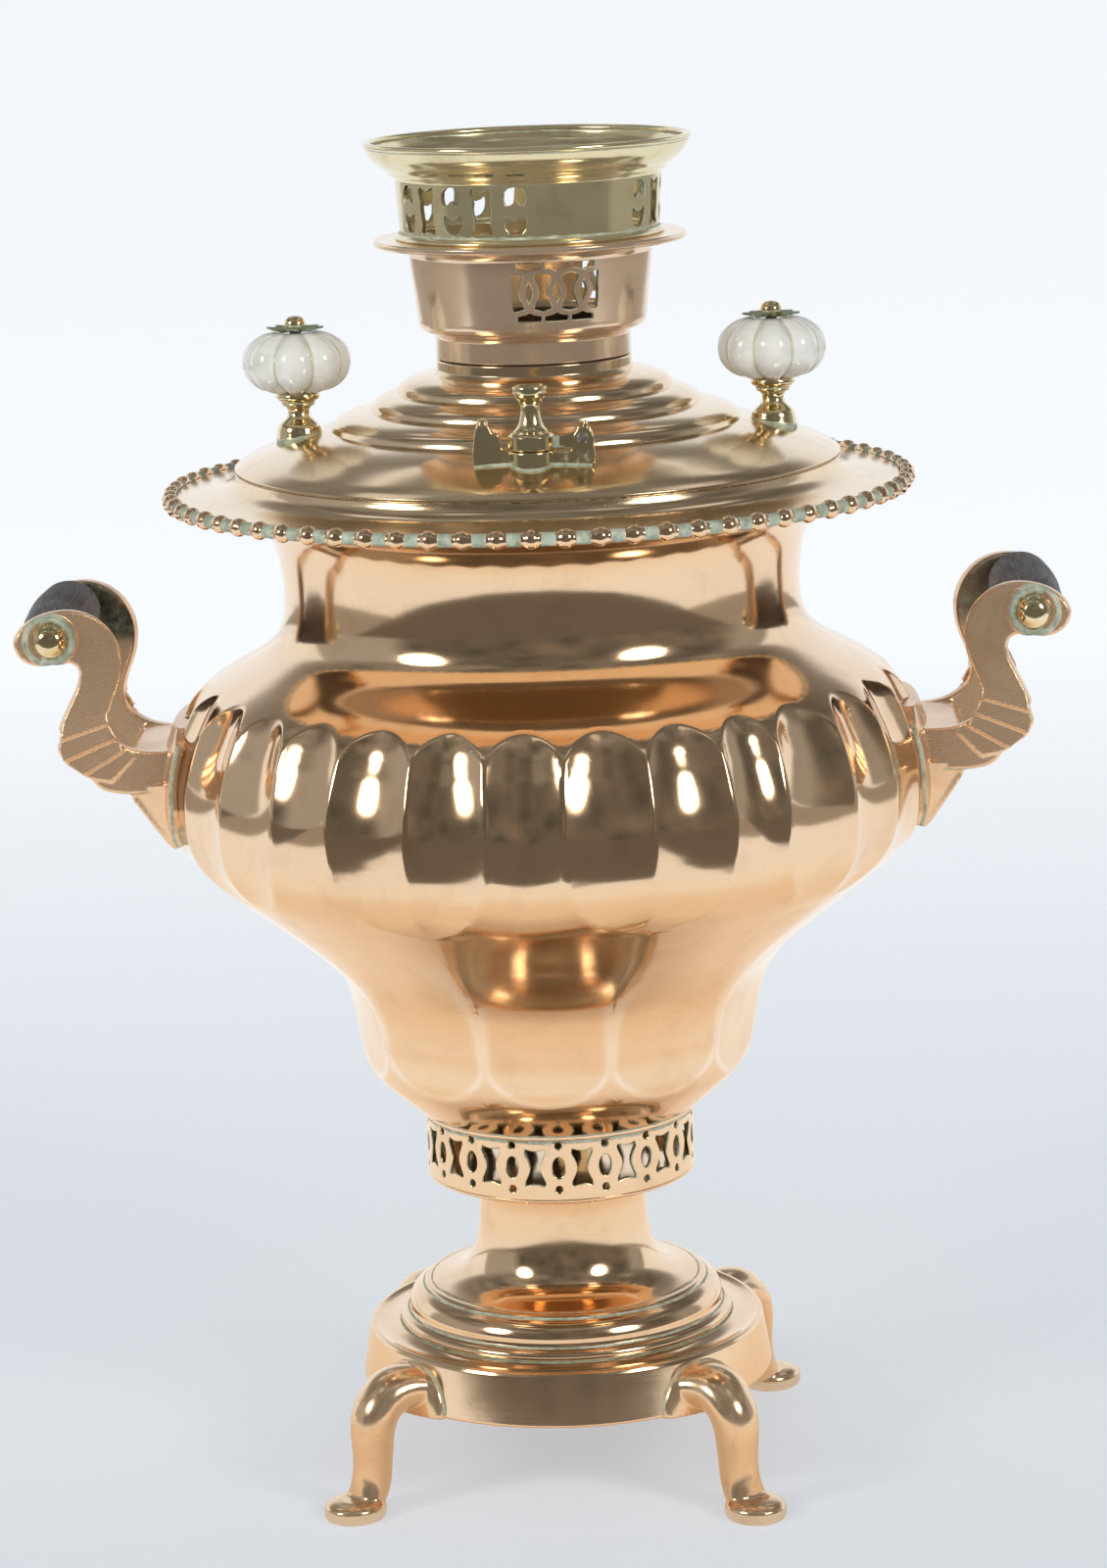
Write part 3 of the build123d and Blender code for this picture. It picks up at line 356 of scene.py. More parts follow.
def pierce(ob, path, holes, inside, outside, radius_at, chamfer=0.3, closed=True):
    """Cuts the holes through a turned object, and gives its turned faces their true normals again."""
    v, f, idx = cutter_mesh(holes, radius_at, inside, outside, chamfer)
    me = bpy.data.meshes.new("cut")
    me.from_pydata((v * U).tolist(), [], f)
    for m in ob.data.materials:
        me.materials.append(m)
    me.polygons.foreach_set("material_index", np.array(idx, np.int32))
    me.update()
    cut = bpy.data.objects.new("cut", me)
    bpy.context.scene.collection.objects.link(cut)
    mod = ob.modifiers.new("holes", "BOOLEAN")
    mod.operation, mod.solver, mod.object = "DIFFERENCE", "EXACT", cut
    mod.material_mode = "INDEX"
    dg = bpy.context.evaluated_depsgraph_get()
    new = bpy.data.meshes.new_from_object(ob.evaluated_get(dg))
    ob.modifiers.clear()
    old = ob.data
    name = old.name
    ob.data = new
    bpy.data.meshes.remove(old)
    new.name = name
    bpy.data.objects.remove(cut)
    bpy.data.meshes.remove(me)
    # normals: turned faces from the profile, hole walls by angle
    p = np.asarray(path, float)
    n = path_normals(p, closed)
    nv, nl, nf = len(new.vertices), len(new.loops), len(new.polygons)
    co = np.empty(nv * 3, np.float32)
    new.vertices.foreach_get("co", co)
    co = co.reshape(-1, 3).astype(float) / U
    rr, zz = np.hypot(co[:, 0], co[:, 1]), co[:, 2]
    q = np.vstack([p, p[:1]]) if closed else p
    a, b = q[:-1], q[1:]
    na, nb = n, np.roll(n, -1, 0)
    if not closed:
        na, nb = n[:-1], n[1:]
    pt = np.stack([rr, zz], 1)
    best, bn = np.full(nv, 1e9), np.zeros((nv, 2))
    for i in range(len(a)):
        e = b[i] - a[i]
        t = np.clip(((pt - a[i]) @ e) / max(e @ e, 1e-12), 0, 1)
        d = np.hypot(*(pt - a[i] - t[:, None] * e).T)
        sel = d < best - 1e-6
        best[sel] = d[sel]
        bn[sel] = (1 - t[sel])[:, None] * na[i] + t[sel][:, None] * nb[i]
    fi = np.maximum(rr, 1e-6)
    vn = np.stack([bn[:, 0] * co[:, 0] / fi, bn[:, 0] * co[:, 1] / fi, bn[:, 1]], 1)
    vn /= np.maximum(np.linalg.norm(vn, axis=1), 1e-9)[:, None]
    new.polygons.foreach_set("use_smooth", np.full(nf, True))
    new.set_sharp_from_angle(angle=math.radians(38))
    cn = np.empty(nl * 3, np.float32)
    new.corner_normals.foreach_get("vector", cn)
    cn = cn.reshape(-1, 3)
    lv = np.empty(nl, np.int32)
    new.loops.foreach_get("vertex_index", lv)
    mi = np.empty(nf, np.int32)
    new.polygons.foreach_get("material_index", mi)
    total = np.empty(nf, np.int32)
    new.polygons.foreach_get("loop_total", total)
    lm = np.repeat(mi, total)
    fn = np.empty(nf * 3, np.float32)
    new.polygons.foreach_get("normal", fn)
    fn = np.repeat(fn.reshape(-1, 3), total, 0)
    use = (lm == 0) & ((vn[lv] * fn).sum(1) > 0.5)
    cn[use] = vn[lv][use]
    new.normals_split_custom_set(cn.tolist())
    return ob


# ======================================================================================
# materials
# ======================================================================================
class Tree:
    def __init__(self, name):
        self.mat = bpy.data.materials.new(name)
        self.mat.use_nodes = True
        self.nt = self.mat.node_tree
        self.nt.nodes.clear()
        self.out = self.add("ShaderNodeOutputMaterial")
        self.bsdf = self.add("ShaderNodeBsdfPrincipled")
        self.nt.links.new(self.bsdf.outputs[0], self.out.inputs[0])
        self.co = self.add("ShaderNodeTexCoord").outputs["Object"]

    def add(self, kind, **props):
        n = self.nt.nodes.new(kind)
        for k, v in props.items():
            setattr(n, k, v)
        return n

    def link(self, a, b):
        self.nt.links.new(a, b)

    def put(self, value, socket):
        if isinstance(value, bpy.types.NodeSocket):
            self.link(value, socket)
        else:
            socket.default_value = value

    def math(self, op, a, b=0.0, c=None, clamp=False):
        n = self.add("ShaderNodeMath", operation=op, use_clamp=clamp)
        self.put(a, n.inputs[0])
        self.put(b, n.inputs[1])
        if c is not None:
            self.put(c, n.inputs[2])
        return n.outputs[0]

    def mix(self, f, a, b, kind="MIX"):
        n = self.add("ShaderNodeMix", data_type="RGBA", blend_type=kind)
        self.put(f, n.inputs[0])
        for v, s in ((a, n.inputs[6]), (b, n.inputs[7])):
            self.put(v if isinstance(v, bpy.types.NodeSocket) else (*v, 1.0), s)
        return n.outputs[2]

    def ramp(self, f, stops):
        n = self.add("ShaderNodeValToRGB")
        while len(n.color_ramp.elements) < len(stops):
            n.color_ramp.elements.new(0.5)
        for e, (pos, col) in zip(n.color_ramp.elements, stops):
            e.position = pos
            e.color = (col, col, col, 1) if not isinstance(col, tuple) else (*col, 1)
        self.link(f, n.inputs[0])
        return n.outputs[0]

    def scaled(self, sx, sy, sz, rot=(0, 0, 0)):
        n = self.add("ShaderNodeMapping")
        n.inputs["Scale"].default_value = (sx, sy, sz)
        n.inputs["Rotation"].default_value = rot
        self.link(self.co, n.inputs[0])
        return n.outputs[0]

    def noise(self, scale, detail=3.0, rough=0.5, vector=None, distortion=0.0):
        n = self.add("ShaderNodeTexNoise")
        n.inputs["Scale"].default_value = scale
        n.inputs["Detail"].default_value = detail
        n.inputs["Roughness"].default_value = rough
        n.inputs["Distortion"].default_value = distortion
        self.link(vector or self.co, n.inputs["Vector"])
        return n.outputs[0]

    def voronoi(self, scale, feature="F1", vector=None, randomness=1.0):
        n = self.add("ShaderNodeTexVoronoi", feature=feature)
        n.inputs["Scale"].default_value = scale
        n.inputs["Randomness"].default_value = randomness
        self.link(vector or self.co, n.inputs["Vector"])
        return n.outputs[0]

    def attr(self, name):
        return self.add("ShaderNodeAttribute", attribute_name=name).outputs["Fac"]

    def bump(self, height, strength, distance=0.0005, normal=None):
        n = self.add("ShaderNodeBump")
        n.inputs["Strength"].default_value = strength
        n.inputs["Distance"].default_value = distance
        self.link(height, n.inputs["Height"])
        if normal is not None:
            self.link(normal, n.inputs["Normal"])
        return n.outputs[0]

    def set(self, **values):
        names = {"color": "Base Color", "metal": "Metallic", "rough": "Roughness", "normal": "Normal",
                 "coat": "Coat Weight", "coat_rough": "Coat Roughness", "ior": "IOR",
                 "spec": "Specular IOR Level", "sss": "Subsurface Weight"}
        for k, v in values.items():
            s = self.bsdf.inputs[names[k]]
            if isinstance(v, tuple) and len(v) == 3 and k == "color":
                v = (*v, 1.0)
            self.put(v, s)
        return self.mat


def polished(name, base, warm, rough=0.085, green=1.0, tarnish=0.25, dull=0.0, scratch=1.0, pits=1.0,
             green_floor=0.0, oxide=0.0, crest=0.0):
    """Polished copper alloy: tone drift, polishing lines round Z, pits, tarnish, verdigris by attribute verd."""
    t = Tree(name)
    drift = t.noise(14.0, 3.0, 0.55)
    patch = t.noise(46.0, 5.0, 0.62, distortion=0.4)
    fine = t.noise(900.0, 3.0, 0.6)
    lines = t.noise(1.0, 2.0, 0.6, t.scaled(26.0, 26.0, 2600.0))
    cross = t.noise(1.0, 2.0, 0.5, t.scaled(900.0, 60.0, 220.0, (0.3, 0.2, 0.6)))
    col = t.mix(t.ramp(drift, [(0.30, 0.0), (0.72, 1.0)]), base, warm)
    # crest: pale tint on the petal edges, partly wear and partly a painted highlight for the light their crests catch
    if crest:
        col = t.mix(t.math("MULTIPLY", t.attr("crest"), crest), col, (0.98, 0.90, 0.82))
    stain = t.math("MULTIPLY", t.ramp(patch, [(0.52, 0.0), (0.72, 1.0)]), tarnish)
    dark = tuple(c * f for c, f in zip(base, (0.62, 0.52, 0.42)))
    col = t.mix(stain, col, dark)
    spots = t.ramp(t.voronoi(520.0), [(0.035, 1.0), (0.075, 0.0)])
    where = t.ramp(t.noise(26.0, 2.0, 0.5), [(0.57, 0.0), (0.66, 1.0)])
    spots = t.math("MULTIPLY", spots, t.math("MULTIPLY", where, 0.8 * pits))
    col = t.mix(spots, col, tuple(c * 0.25 for c in base))
    # verdigris
    ve = t.attr("verd")
    grain = t.noise(420.0, 4.0, 0.65)
    edge = t.math("ADD", ve, t.math("MULTIPLY", t.math("SUBTRACT", grain, 0.5), 0.75))
    ve = t.math("MULTIPLY", t.ramp(edge, [(0.50, 0.0), (0.82, 0.85)]), green)
    if green_floor:
        soil = t.ramp(t.noise(70.0, 5.0, 0.65), [(0.50, 0.0), (0.66, 1.0)])
        ve = t.math("MAXIMUM", ve, t.math("MULTIPLY", soil, green_floor))
    pat = t.math("MULTIPLY", t.attr("patina"), t.ramp(patch, [(0.30, 0.55), (0.60, 1.0)]))
    col = t.mix(pat, col, t.ramp(grain, [(0.38, (0.035, 0.04, 0.028)), (0.54, (0.10, 0.125, 0.085)), (0.68, (0.24, 0.33, 0.26))]))
    tone = t.ramp(t.noise(260.0, 3.0, 0.6), [(0.30, (0.15, 0.21, 0.16)), (0.48, (0.33, 0.44, 0.36)), (0.70, (0.56, 0.65, 0.56))])
    col = t.mix(ve, col, tone)
    rg = t.math("ADD", t.math("MULTIPLY", t.math("SUBTRACT", patch, 0.35), 0.10), rough)
    rg = t.math("ADD", rg, t.math("MULTIPLY", t.math("SUBTRACT", lines, 0.5), 0.05 * scratch))
    rg = t.math("ADD", rg, t.math("MULTIPLY", spots, 0.3))
    rg = t.math("ADD", rg, dull)
    rg = t.math("MAXIMUM", rg, 0.035)
    rg = t.math("ADD", rg, t.math("MULTIPLY", pat, 0.3))
    rg = t.math("ADD", rg, t.math("MULTIPLY", ve, 0.6), clamp=True)
    metal = t.math("SUBTRACT", 1.0 - oxide, t.math("MULTIPLY", ve, 0.92 - oxide * 0.92))
    h = t.math("MULTIPLY", lines, 0.010 * scratch)
    h = t.math("ADD", h, t.math("MULTIPLY", t.ramp(cross, [(0.60, 0.0), (0.66, 1.0)]), -0.010 * scratch))
    h = t.math("ADD", h, t.math("MULTIPLY", fine, 0.006))
    h = t.math("ADD", h, t.math("MULTIPLY", spots, -0.20))
    h = t.math("ADD", h, t.math("MULTIPLY", t.math("MULTIPLY", ve, grain), 0.45))
    wave = t.noise(34.0, 2.0, 0.4)
    n = t.bump(h, 0.5, 0.0004)
    n = t.bump(wave, 0.05, 0.004, n)
    return t.set(color=col, metal=metal, rough=rg, normal=n)


TOMBAC = polished("tombac", (0.84, 0.605, 0.395), (0.88, 0.655, 0.445), rough=0.095)
# crest=0.5 paints a pale highlight along the petal edges, partly wear
TOMBAC_TANK = polished("tombac_tank", (0.84, 0.605, 0.395), (0.88, 0.655, 0.445), rough=0.095, crest=0.5)
TOMBAC_LID = polished("tombac_lid", (0.82, 0.63, 0.42), (0.86, 0.69, 0.48), rough=0.13, tarnish=0.3)
TOMBAC_CAST = polished("tombac_cast", (0.83, 0.57, 0.36), (0.89, 0.63, 0.42), rough=0.26, tarnish=0.45, scratch=0.6, oxide=0.20)
TOMBAC_FEET = polished("tombac_feet", (0.84, 0.60, 0.38), (0.88, 0.65, 0.43), rough=0.17, tarnish=0.5, scratch=0.6, oxide=0.10)
TOMBAC_CROWN = polished("tombac_crown", (0.84, 0.62, 0.44), (0.88, 0.68, 0.50), rough=0.14, tarnish=0.3, oxide=0.19)
TOMBAC_IN = polished("tombac_inside", (0.42, 0.25, 0.14), (0.50, 0.32, 0.18), rough=0.42, tarnish=0.8, green_floor=0.25)
BRASS = polished("yellow_brass", (0.80, 0.68, 0.42), (0.86, 0.75, 0.49), rough=0.12, tarnish=0.4)
BRASS_DARK = polished("olive_brass", (0.74, 0.66, 0.43), (0.80, 0.71, 0.47), rough=0.13, tarnish=0.5, oxide=0.15)
EDGE = polished("brass_edge", (0.74, 0.62, 0.36), (0.78, 0.66, 0.40), rough=0.2, tarnish=0.4, green_floor=0.85)
WALL = polished("green_wall", (0.30, 0.28, 0.16), (0.40, 0.38, 0.22), rough=0.4, tarnish=0.6, green_floor=0.9)


def porcelain():
    t = Tree("porcelain")
    crease = t.attr("crease")
    n1 = t.noise(90.0, 4.0, 0.6)
    n2 = t.noise(300.0, 3.0, 0.6)
    stain = t.math("ADD", crease, t.math("MULTIPLY", t.math("SUBTRACT", n1, 0.5), 0.9))
    stain = t.ramp(stain, [(0.55, 0.0), (1.0, 1.0)])
    body = t.mix(t.ramp(n2, [(0.35, 0.0), (0.7, 1.0)]), (0.80, 0.80, 0.75), (0.87, 0.87, 0.84))
    col = t.mix(t.math("MULTIPLY", stain, 0.8), body, t.ramp(n1, [(0.4, (0.40, 0.42, 0.20)), (0.62, (0.58, 0.50, 0.30))]))
    blot = t.ramp(t.noise(55.0, 3.0, 0.55), [(0.60, 0.0), (0.72, 1.0)])
    col = t.mix(t.math("MULTIPLY", blot, 0.45), col, (0.52, 0.52, 0.44))
    rg = t.math("ADD", t.math("MULTIPLY", stain, 0.25), 0.07)
    n = t.bump(n1, 0.04, 0.001)
    return t.set(color=col, metal=0.0, rough=rg, normal=n, ior=1.5, coat=0.5, coat_rough=0.04)


def leaf():
    t = Tree("leaf_copper")
    n1 = t.noise(220.0, 4.0, 0.65)
    col = t.ramp(n1, [(0.34, (0.10, 0.09, 0.03)), (0.47, (0.27, 0.25, 0.10)), (0.58, (0.22, 0.34, 0.24)), (0.70, (0.42, 0.50, 0.38))])
    return t.set(color=col, metal=t.ramp(n1, [(0.42, 0.9), (0.60, 0.1)]), rough=t.ramp(n1, [(0.4, 0.32), (0.65, 0.8)]),
                 normal=t.bump(n1, 0.35, 0.0006))


def wood():
    t = Tree("dark_wood")
    g = t.noise(1.0, 5.0, 0.62, t.scaled(900.0, 45.0, 900.0))
    g2 = t.noise(60.0, 3.0, 0.5)
    wear = t.attr("wear")
    col = t.ramp(g, [(0.30, (0.055, 0.052, 0.058)), (0.52, (0.125, 0.118, 0.125)), (0.72, (0.21, 0.195, 0.195))])
    col = t.mix(t.math("MULTIPLY", wear, t.ramp(g2, [(0.35, 0.35), (0.65, 0.85)])), col, (0.30, 0.295, 0.31))
    rg = t.math("ADD", t.math("MULTIPLY", g, 0.25), 0.30)
    return t.set(color=col, metal=0.0, rough=rg, normal=t.bump(g, 0.35, 0.0005), ior=1.48, coat=0.25, coat_rough=0.3)


def steel():
    t = Tree("steel")
    g = t.noise(600.0, 4.0, 0.6)
    rust = t.ramp(t.noise(120.0, 4.0, 0.6), [(0.52, 0.0), (0.66, 1.0)])
    col = t.mix(t.math("MULTIPLY", rust, 0.7), (0.50, 0.49, 0.47), (0.20, 0.11, 0.06))
    return t.set(color=col, metal=t.math("SUBTRACT", 1.0, t.math("MULTIPLY", rust, 0.7)),
                 rough=t.math("ADD", t.math("MULTIPLY", g, 0.2), 0.25), normal=t.bump(g, 0.15, 0.0004))


def iron():
    t = Tree("sooty_iron")
    g = t.noise(300.0, 5.0, 0.65)
    col = t.ramp(g, [(0.35, (0.015, 0.014, 0.013)), (0.6, (0.05, 0.045, 0.04)), (0.75, (0.12, 0.08, 0.06))])
    return t.set(color=col, metal=0.6, rough=t.math("ADD", t.math("MULTIPLY", g, 0.3), 0.5), normal=t.bump(g, 0.5, 0.0008))


def soot():
    t = Tree("sooty_tube")
    g = t.noise(60.0, 5.0, 0.6)
    col = t.ramp(g, [(0.35, (0.05, 0.035, 0.025)), (0.55, (0.16, 0.10, 0.06)), (0.75, (0.34, 0.20, 0.11))])
    return t.set(color=col, metal=t.ramp(g, [(0.4, 0.3), (0.7, 0.9)]), rough=t.math("ADD", t.math("MULTIPLY", g, 0.2), 0.42),
                 normal=t.bump(g, 0.2, 0.001))


PORCELAIN, LEAF, WOOD, STEEL, IRON, SOOT = porcelain(), leaf(), wood(), steel(), iron(), soot()


def dress(node, mat):
    """Gives a CAD node that keeps its shape a better material."""
    me = NODES[node].data
    if len(me.materials):
        for i in range(len(me.materials)):
            me.materials[i] = mat
    else:
        me.materials.append(mat)


# ======================================================================================
# base, pedestal, gallery
# ======================================================================================
BASE_Z = 51.0
base_path = [(36.0, BASE_Z), (36.0, 48.2), (66.8, 48.2), (69.6, 32.5), (71.4, 32.5), (68.6, 49.4), (68.0, 50.4), (66.8, 50.6)]
base_path = joined(base_path[:-1], cubic([(66.8, 50.6), (64.5, 49.9), (60.5, 50.2), (58.0, BASE_Z)], 0.8))
ob = turned("base_dish", base_path, 256, 0.45, (TOMBAC,), marks=[(57.6, 51.0, 0.9, 1.0), (71.4, 33.0, 1.2, 0.35)],
            big=[(68.6, 49.4, 1.0), (71.4, 32.5, 0.8)])
put(ob, "root", ["base_plate"])

stem_outer = [(46.0, 65.2), (40.0, 66.6), (34.6, 70.0), (31.2, 75.5), (29.6, 82.0),
              (29.0, 90.0), (29.0, 96.5), (29.8, 99.6), (32.0, 101.8), (35.0, 103.2)]
stem_inner = [(43.5, 64.0), (38.8, 65.2), (33.6, 68.9), (29.8, 74.9), (28.1, 81.8),
              (27.5, 90.0), (27.5, 97.0), (28.2, 100.4), (29.4, 102.2), (30.4, 103.2)]
foot_ring = joined(
    [(52.0, 52.6), (52.0, 51.0), (57.4, 51.0), (57.9, 52.0)],
    cubic([(57.9, 52.0), (57.8, 53.3), (56.9, 54.4), (55.3, 54.9)], 0.3),
    [(54.9, 55.2)],
    cubic([(54.9, 55.2), (54.5, 56.6), (54.4, 58.2), (54.0, 59.4), (52.6, 61.6), (50.0, 63.3)], 0.4),
    [(49.4, 63.7)],
    cubic([(49.4, 63.7), (48.9, 64.4), (47.4, 64.9), (46.6, 64.9)], 0.3),
    cubic(stem_outer, 0.8), cubic(stem_inner[::-1], 1.0), [(51.0, 57.6), (52.0, 52.6)])
ob = turned("pedestal", foot_ring, 256, 0.25, (TOMBAC,),
            marks=[(57.6, 51.2, 0.7, 1.0), (55.0, 55.1, 0.65, 1.0), (49.5, 63.8, 0.75, 1.0), (46.4, 65.0, 0.5, 0.8)])
put(ob, "root", ["pedestal_stem"])

ob = turned("gallery_floor", [(0, 103.2), (45.2, 103.2), (46.3, 103.9), (46.3, 104.7), (0, 104.7)], 192, 0.3,
            (TOMBAC,), closed=False, marks=[(46.3, 104.5, 0.6, 0.5)])
put(ob, "root", ["ash_plate"])

GAL_R = 46.3
gal_path = [(44.8, 104.7), (GAL_R, 104.7), (GAL_R, 124.6), (46.9, 125.6), (47.5, 126.2), (47.5, 127.5), (36.0, 127.5),
            (36.0, 126.0), (44.8, 126.0)]


def outer_path(path, r=0.3, big=(), longest=5.0, least=20.0):
    p = np.asarray(path, float)
    if area(p) < 0:
        p = p[::-1]
    return support(soften(p, r, True, least, big), longest, 0.25, True)


waist = [(-3.5, 6.5), (-1.6, 5.9), (0.0, 5.7), (1.6, 5.9), (3.5, 6.5), (3.55, 5.2), (2.5, 3.0), (1.85, 1.4), (1.65, 0.0),
         (1.85, -1.4), (2.5, -3.0), (3.55, -5.2), (3.5, -6.5), (1.6, -5.9), (0.0, -5.7), (-1.6, -5.9), (-3.5, -6.5),
         (-3.55, -5.2), (-2.5, -3.0), (-1.85, -1.4), (-1.65, 0.0), (-1.85, 1.4), (-2.5, 3.0), (-3.55, 5.2)]
waist = soften(np.array(waist), 0.8, True, 14.0)
holes = []
for i in range(18):
    holes.append((20.0 * i, ellipse(0, 116.0, 2.2, 3.7, 22)))
    holes.append((20.0 * i, ellipse(0, 123.6, 1.25, 1.25, 14)))
    holes.append((20.0 * i, ellipse(0, 108.4, 1.25, 1.25, 14)))
    holes.append((20.0 * i + 10.0, waist + np.array([0, 116.0])))
ob = turned("gallery", gal_path, 288, 0.25, (TOMBAC, WALL, EDGE), marks=[(46.9, 125.4, 0.7, 1.0), (47.5, 127.4, 0.6, 0.9)],
            longest=3.0)
pierce(ob, outer_path(gal_path, 0.25, longest=3.0), holes, 40.0, 52.0, lambda z: np.full_like(z, GAL_R), 0.32)
put(ob, "root", ["gallery_ring"])

# ======================================================================================
# tank: fluted body
# ======================================================================================
tank_outer = [
    (48.4, 127.5), (54.5, 132.8), (60.3, 138.0), (64.0, 142.0), (66.4, 146.0), (68.1, 152.0),
    (69.7, 160.1), (72.7, 171.9), (77.3, 179.0), (83.1, 185.3), (98.2, 198.7), (110.6, 208.7),
    (122.0, 218.8), (127.2, 227.1), (128.8, 235.5), (129.1, 243.9), (128.2, 252.3),
    (126.0, 260.6), (122.6, 269.0), (118.6, 274.5), (112.0, 279.6), (103.9, 284.1),
    (95.5, 289.3), (90.3, 294.6), (88.0, 301.0), (87.4, 309.2), (88.3, 319.3), (91.2, 328.5),
    (95.5, 334.3), (101.5, 338.0), (110.0, 340.0), (118.0, 340.6), (122.0, 340.7),
]
FLANGE_R, TANK_TOP = 122.0, 342.0
crest = cubic(tank_outer, 0.25)
crest_s = np.r_[0, np.cumsum(np.hypot(*np.diff(crest, axis=0).T))]
crest_n = path_normals(crest, False)
PHI_F = -1.8                 # the middle of the group of flutes that faces -Y
GROUP, GROUPS = 36.0, 10
HALF = GROUP / 2


def knots(x, table):
    t = np.array(table, float)
    return np.interp(x, t[:, 0], t[:, 1])


def ramp01(x, a, b):
    t = np.clip((x - a) / (b - a), 0, 1)
    return t * t * (3 - 2 * t)


def flute(u, k=0.90):
    """Depth below the crest across a round lobe, 1 at its edges, running on beyond them."""
    e = math.sqrt(1 - k * k)
    inner = (1 - np.sqrt(np.maximum(1 - (k * np.minimum(np.abs(u), 1)) ** 2, 0))) / (1 - e)
    slope = k * k / (e * (1 - e))
    return inner + slope * np.maximum(np.abs(u) - 1, 0)


def smin(a, b, r):
    h = np.maximum(r - np.abs(a - b), 0) / r
    return np.minimum(a, b) - h * h * r / 4


crease_table = [(205, 18.0), (211.2, 18.0), (212.2, 15.9), (213.6, 13.2), (216.0, 10.6), (219.0, 8.7), (224.0, 6.9),
                (232.0, 5.8), (240.0, 5.5), (249.0, 5.5), (257.0, 5.6), (264.0, 5.8), (270.0, 6.0), (276.0, 6.1), (290.0, 6.1)]
# depth of the flute down the middle of each group, which runs on as the petal below, and of the two beside it
mid_depth = [(120, 3.1), (150, 3.1), (162, 2.9), (172, 2.2), (182, 1.5), (195, 0.95), (206, 0.7), (212, 0.7), (219, 1.1),
             (227, 1.6), (237, 1.95), (248, 2.2), (262, 3.0), (272, 3.5), (300, 3.6)]
side_depth = [(200, 0.0), (209, 0.0), (213, 0.35), (219, 1.1), (227, 1.8), (237, 2.2), (248, 2.45), (262, 3.2), (272, 3.7),
              (300, 3.8)]
# the flutes are hammered by hand, so each crest wanders a little
wander = rng.normal(0, 0.40, (GROUPS, 2))
narrow = 1 + rng.normal(0, 0.06, GROUPS)
strength = 1 + rng.normal(0, 0.07, (GROUPS, 3))
wander[0], wander[1], wander[-1] = (-0.60, -0.50), (-0.75, -0.60), (-0.15, -0.20)
narrow[0], narrow[1], narrow[-1] = 1.0, 0.84, 0.96


def off_tap(z, phi):
    """Distance from the tap's axis over the tank's surface."""
    return np.hypot(np.radians(np.mod(phi, 360.0) - 180.0) * 71.0, z - 166.0)


def sink(z, phi):
    """Depth of the tank's surface below its crest profile, at crest height z and angle phi in degrees."""
    rel = phi - PHI_F + HALF
    group = np.floor(rel / GROUP).astype(int) % GROUPS
    g = np.mod(rel, GROUP) - HALF
    c = knots(z, crease_table)
    c = np.where(c < 12, c * narrow[group], c)
    upper = ramp01(z, 206, 216)
    mid = wander[group, 0] + (wander[group, 1] - wander[group, 0]) * ramp01(z, 268, 236)
    gl = g - mid * upper * np.clip((HALF - np.abs(g)) / 8, 0, 1)
    end = np.clip((z - 267.0) / 12.2, 0, 3) ** 2
    foot = np.clip((156.5 - z) / 14.5, 0, 3) ** 2
    am = knots(z, mid_depth) * strength[group, 1]
    w = np.maximum((HALF - c) / 2, 0.02)
    shrink = np.clip(w / 5.6, 0, 1)
    edge_ = np.where(gl < 0, 0, 2)
    nextg = np.where(gl < 0, (group - 1) % GROUPS, (group + 1) % GROUPS)
    ab = knots(z, side_depth) * shrink
    # heights over the crest profile: below it inside a hollow, above it beyond the hollow's own edge
    f = am * ((gl / c) ** 2 + end + foot - 1)
    e = ab * strength[group, edge_] * (((np.abs(gl) - (HALF + c) / 2) / w) ** 2 + end - 1)
    n = ab * strength[nextg, 2 - edge_] * (((GROUP - np.abs(gl) - (HALF + c) / 2) / w) ** 2 + end - 1)
    low = c > HALF - 0.1
    n = np.where(low, am * (((GROUP - np.abs(gl)) / HALF) ** 2 + foot - 1), n)
    e = np.where(low, 9.0, e)
    r = 0.26 * np.minimum(am, 2.4) + 0.05
    h = smin(smin(f, e, r), n, r)
    h = smin(h, 0.0, 0.4)
    return np.maximum(-h, 0.0) * ramp01(off_tap(z, phi), 17.5, 25.0)


def tank_point(s, phi):
    """Point of the tank's outside at profile length s and angle phi, and its crest normal."""
    r = np.interp(s, crest_s, crest[:, 0])
    z = np.interp(s, crest_s, crest[:, 1])
    nr = np.interp(s, crest_s, crest_n[:, 0])
    nz = np.interp(s, crest_s, crest_n[:, 1])
    d = sink(z, phi)
    rr, zz = r - nr * d, z - nz * d
    a = np.radians(phi)
    return np.stack([rr * np.sin(a), -rr * np.cos(a), zz], -1), d


def tank_rows():
    zs = np.interp
    z_of = crest[:, 1]
    want = []
    s, end = 0.0, crest_s[-1]
    while s < end:
        want.append(s)
        z = np.interp(s, crest_s, z_of)
        r = np.interp(s, crest_s, crest[:, 0])
        step = 3.2
        if 264 < z < 281:
            step = 0.8
        elif 209.5 < z < 222:
            step = 1.2
        elif 138 < z < 160:
            step = 1.1
        elif 222 <= z <= 264:
            step = 2.4
        elif z < 134:
            step = 1.6
        elif z > 322:
            step = 2.2
        s += step
    want.append(end)
    return np.array(want)


COLS = 720
rows_s = tank_rows()
phis = np.arange(COLS) * 360.0 / COLS + PHI_F
S, P = np.meshgrid(rows_s, phis, indexing="ij")
pos, dep = tank_point(S, P)
es, ep = 0.12, 0.04
ds = tank_point(np.clip(S + es, 0, crest_s[-1]), P)[0] - tank_point(np.clip(S - es, 0, crest_s[-1]), P)[0]
dp = tank_point(S, P + ep)[0] - tank_point(S, P - ep)[0]
nrm = np.cross(dp, ds)
nrm /= np.linalg.norm(nrm, axis=-1)[..., None]
body_rows = len(rows_s)
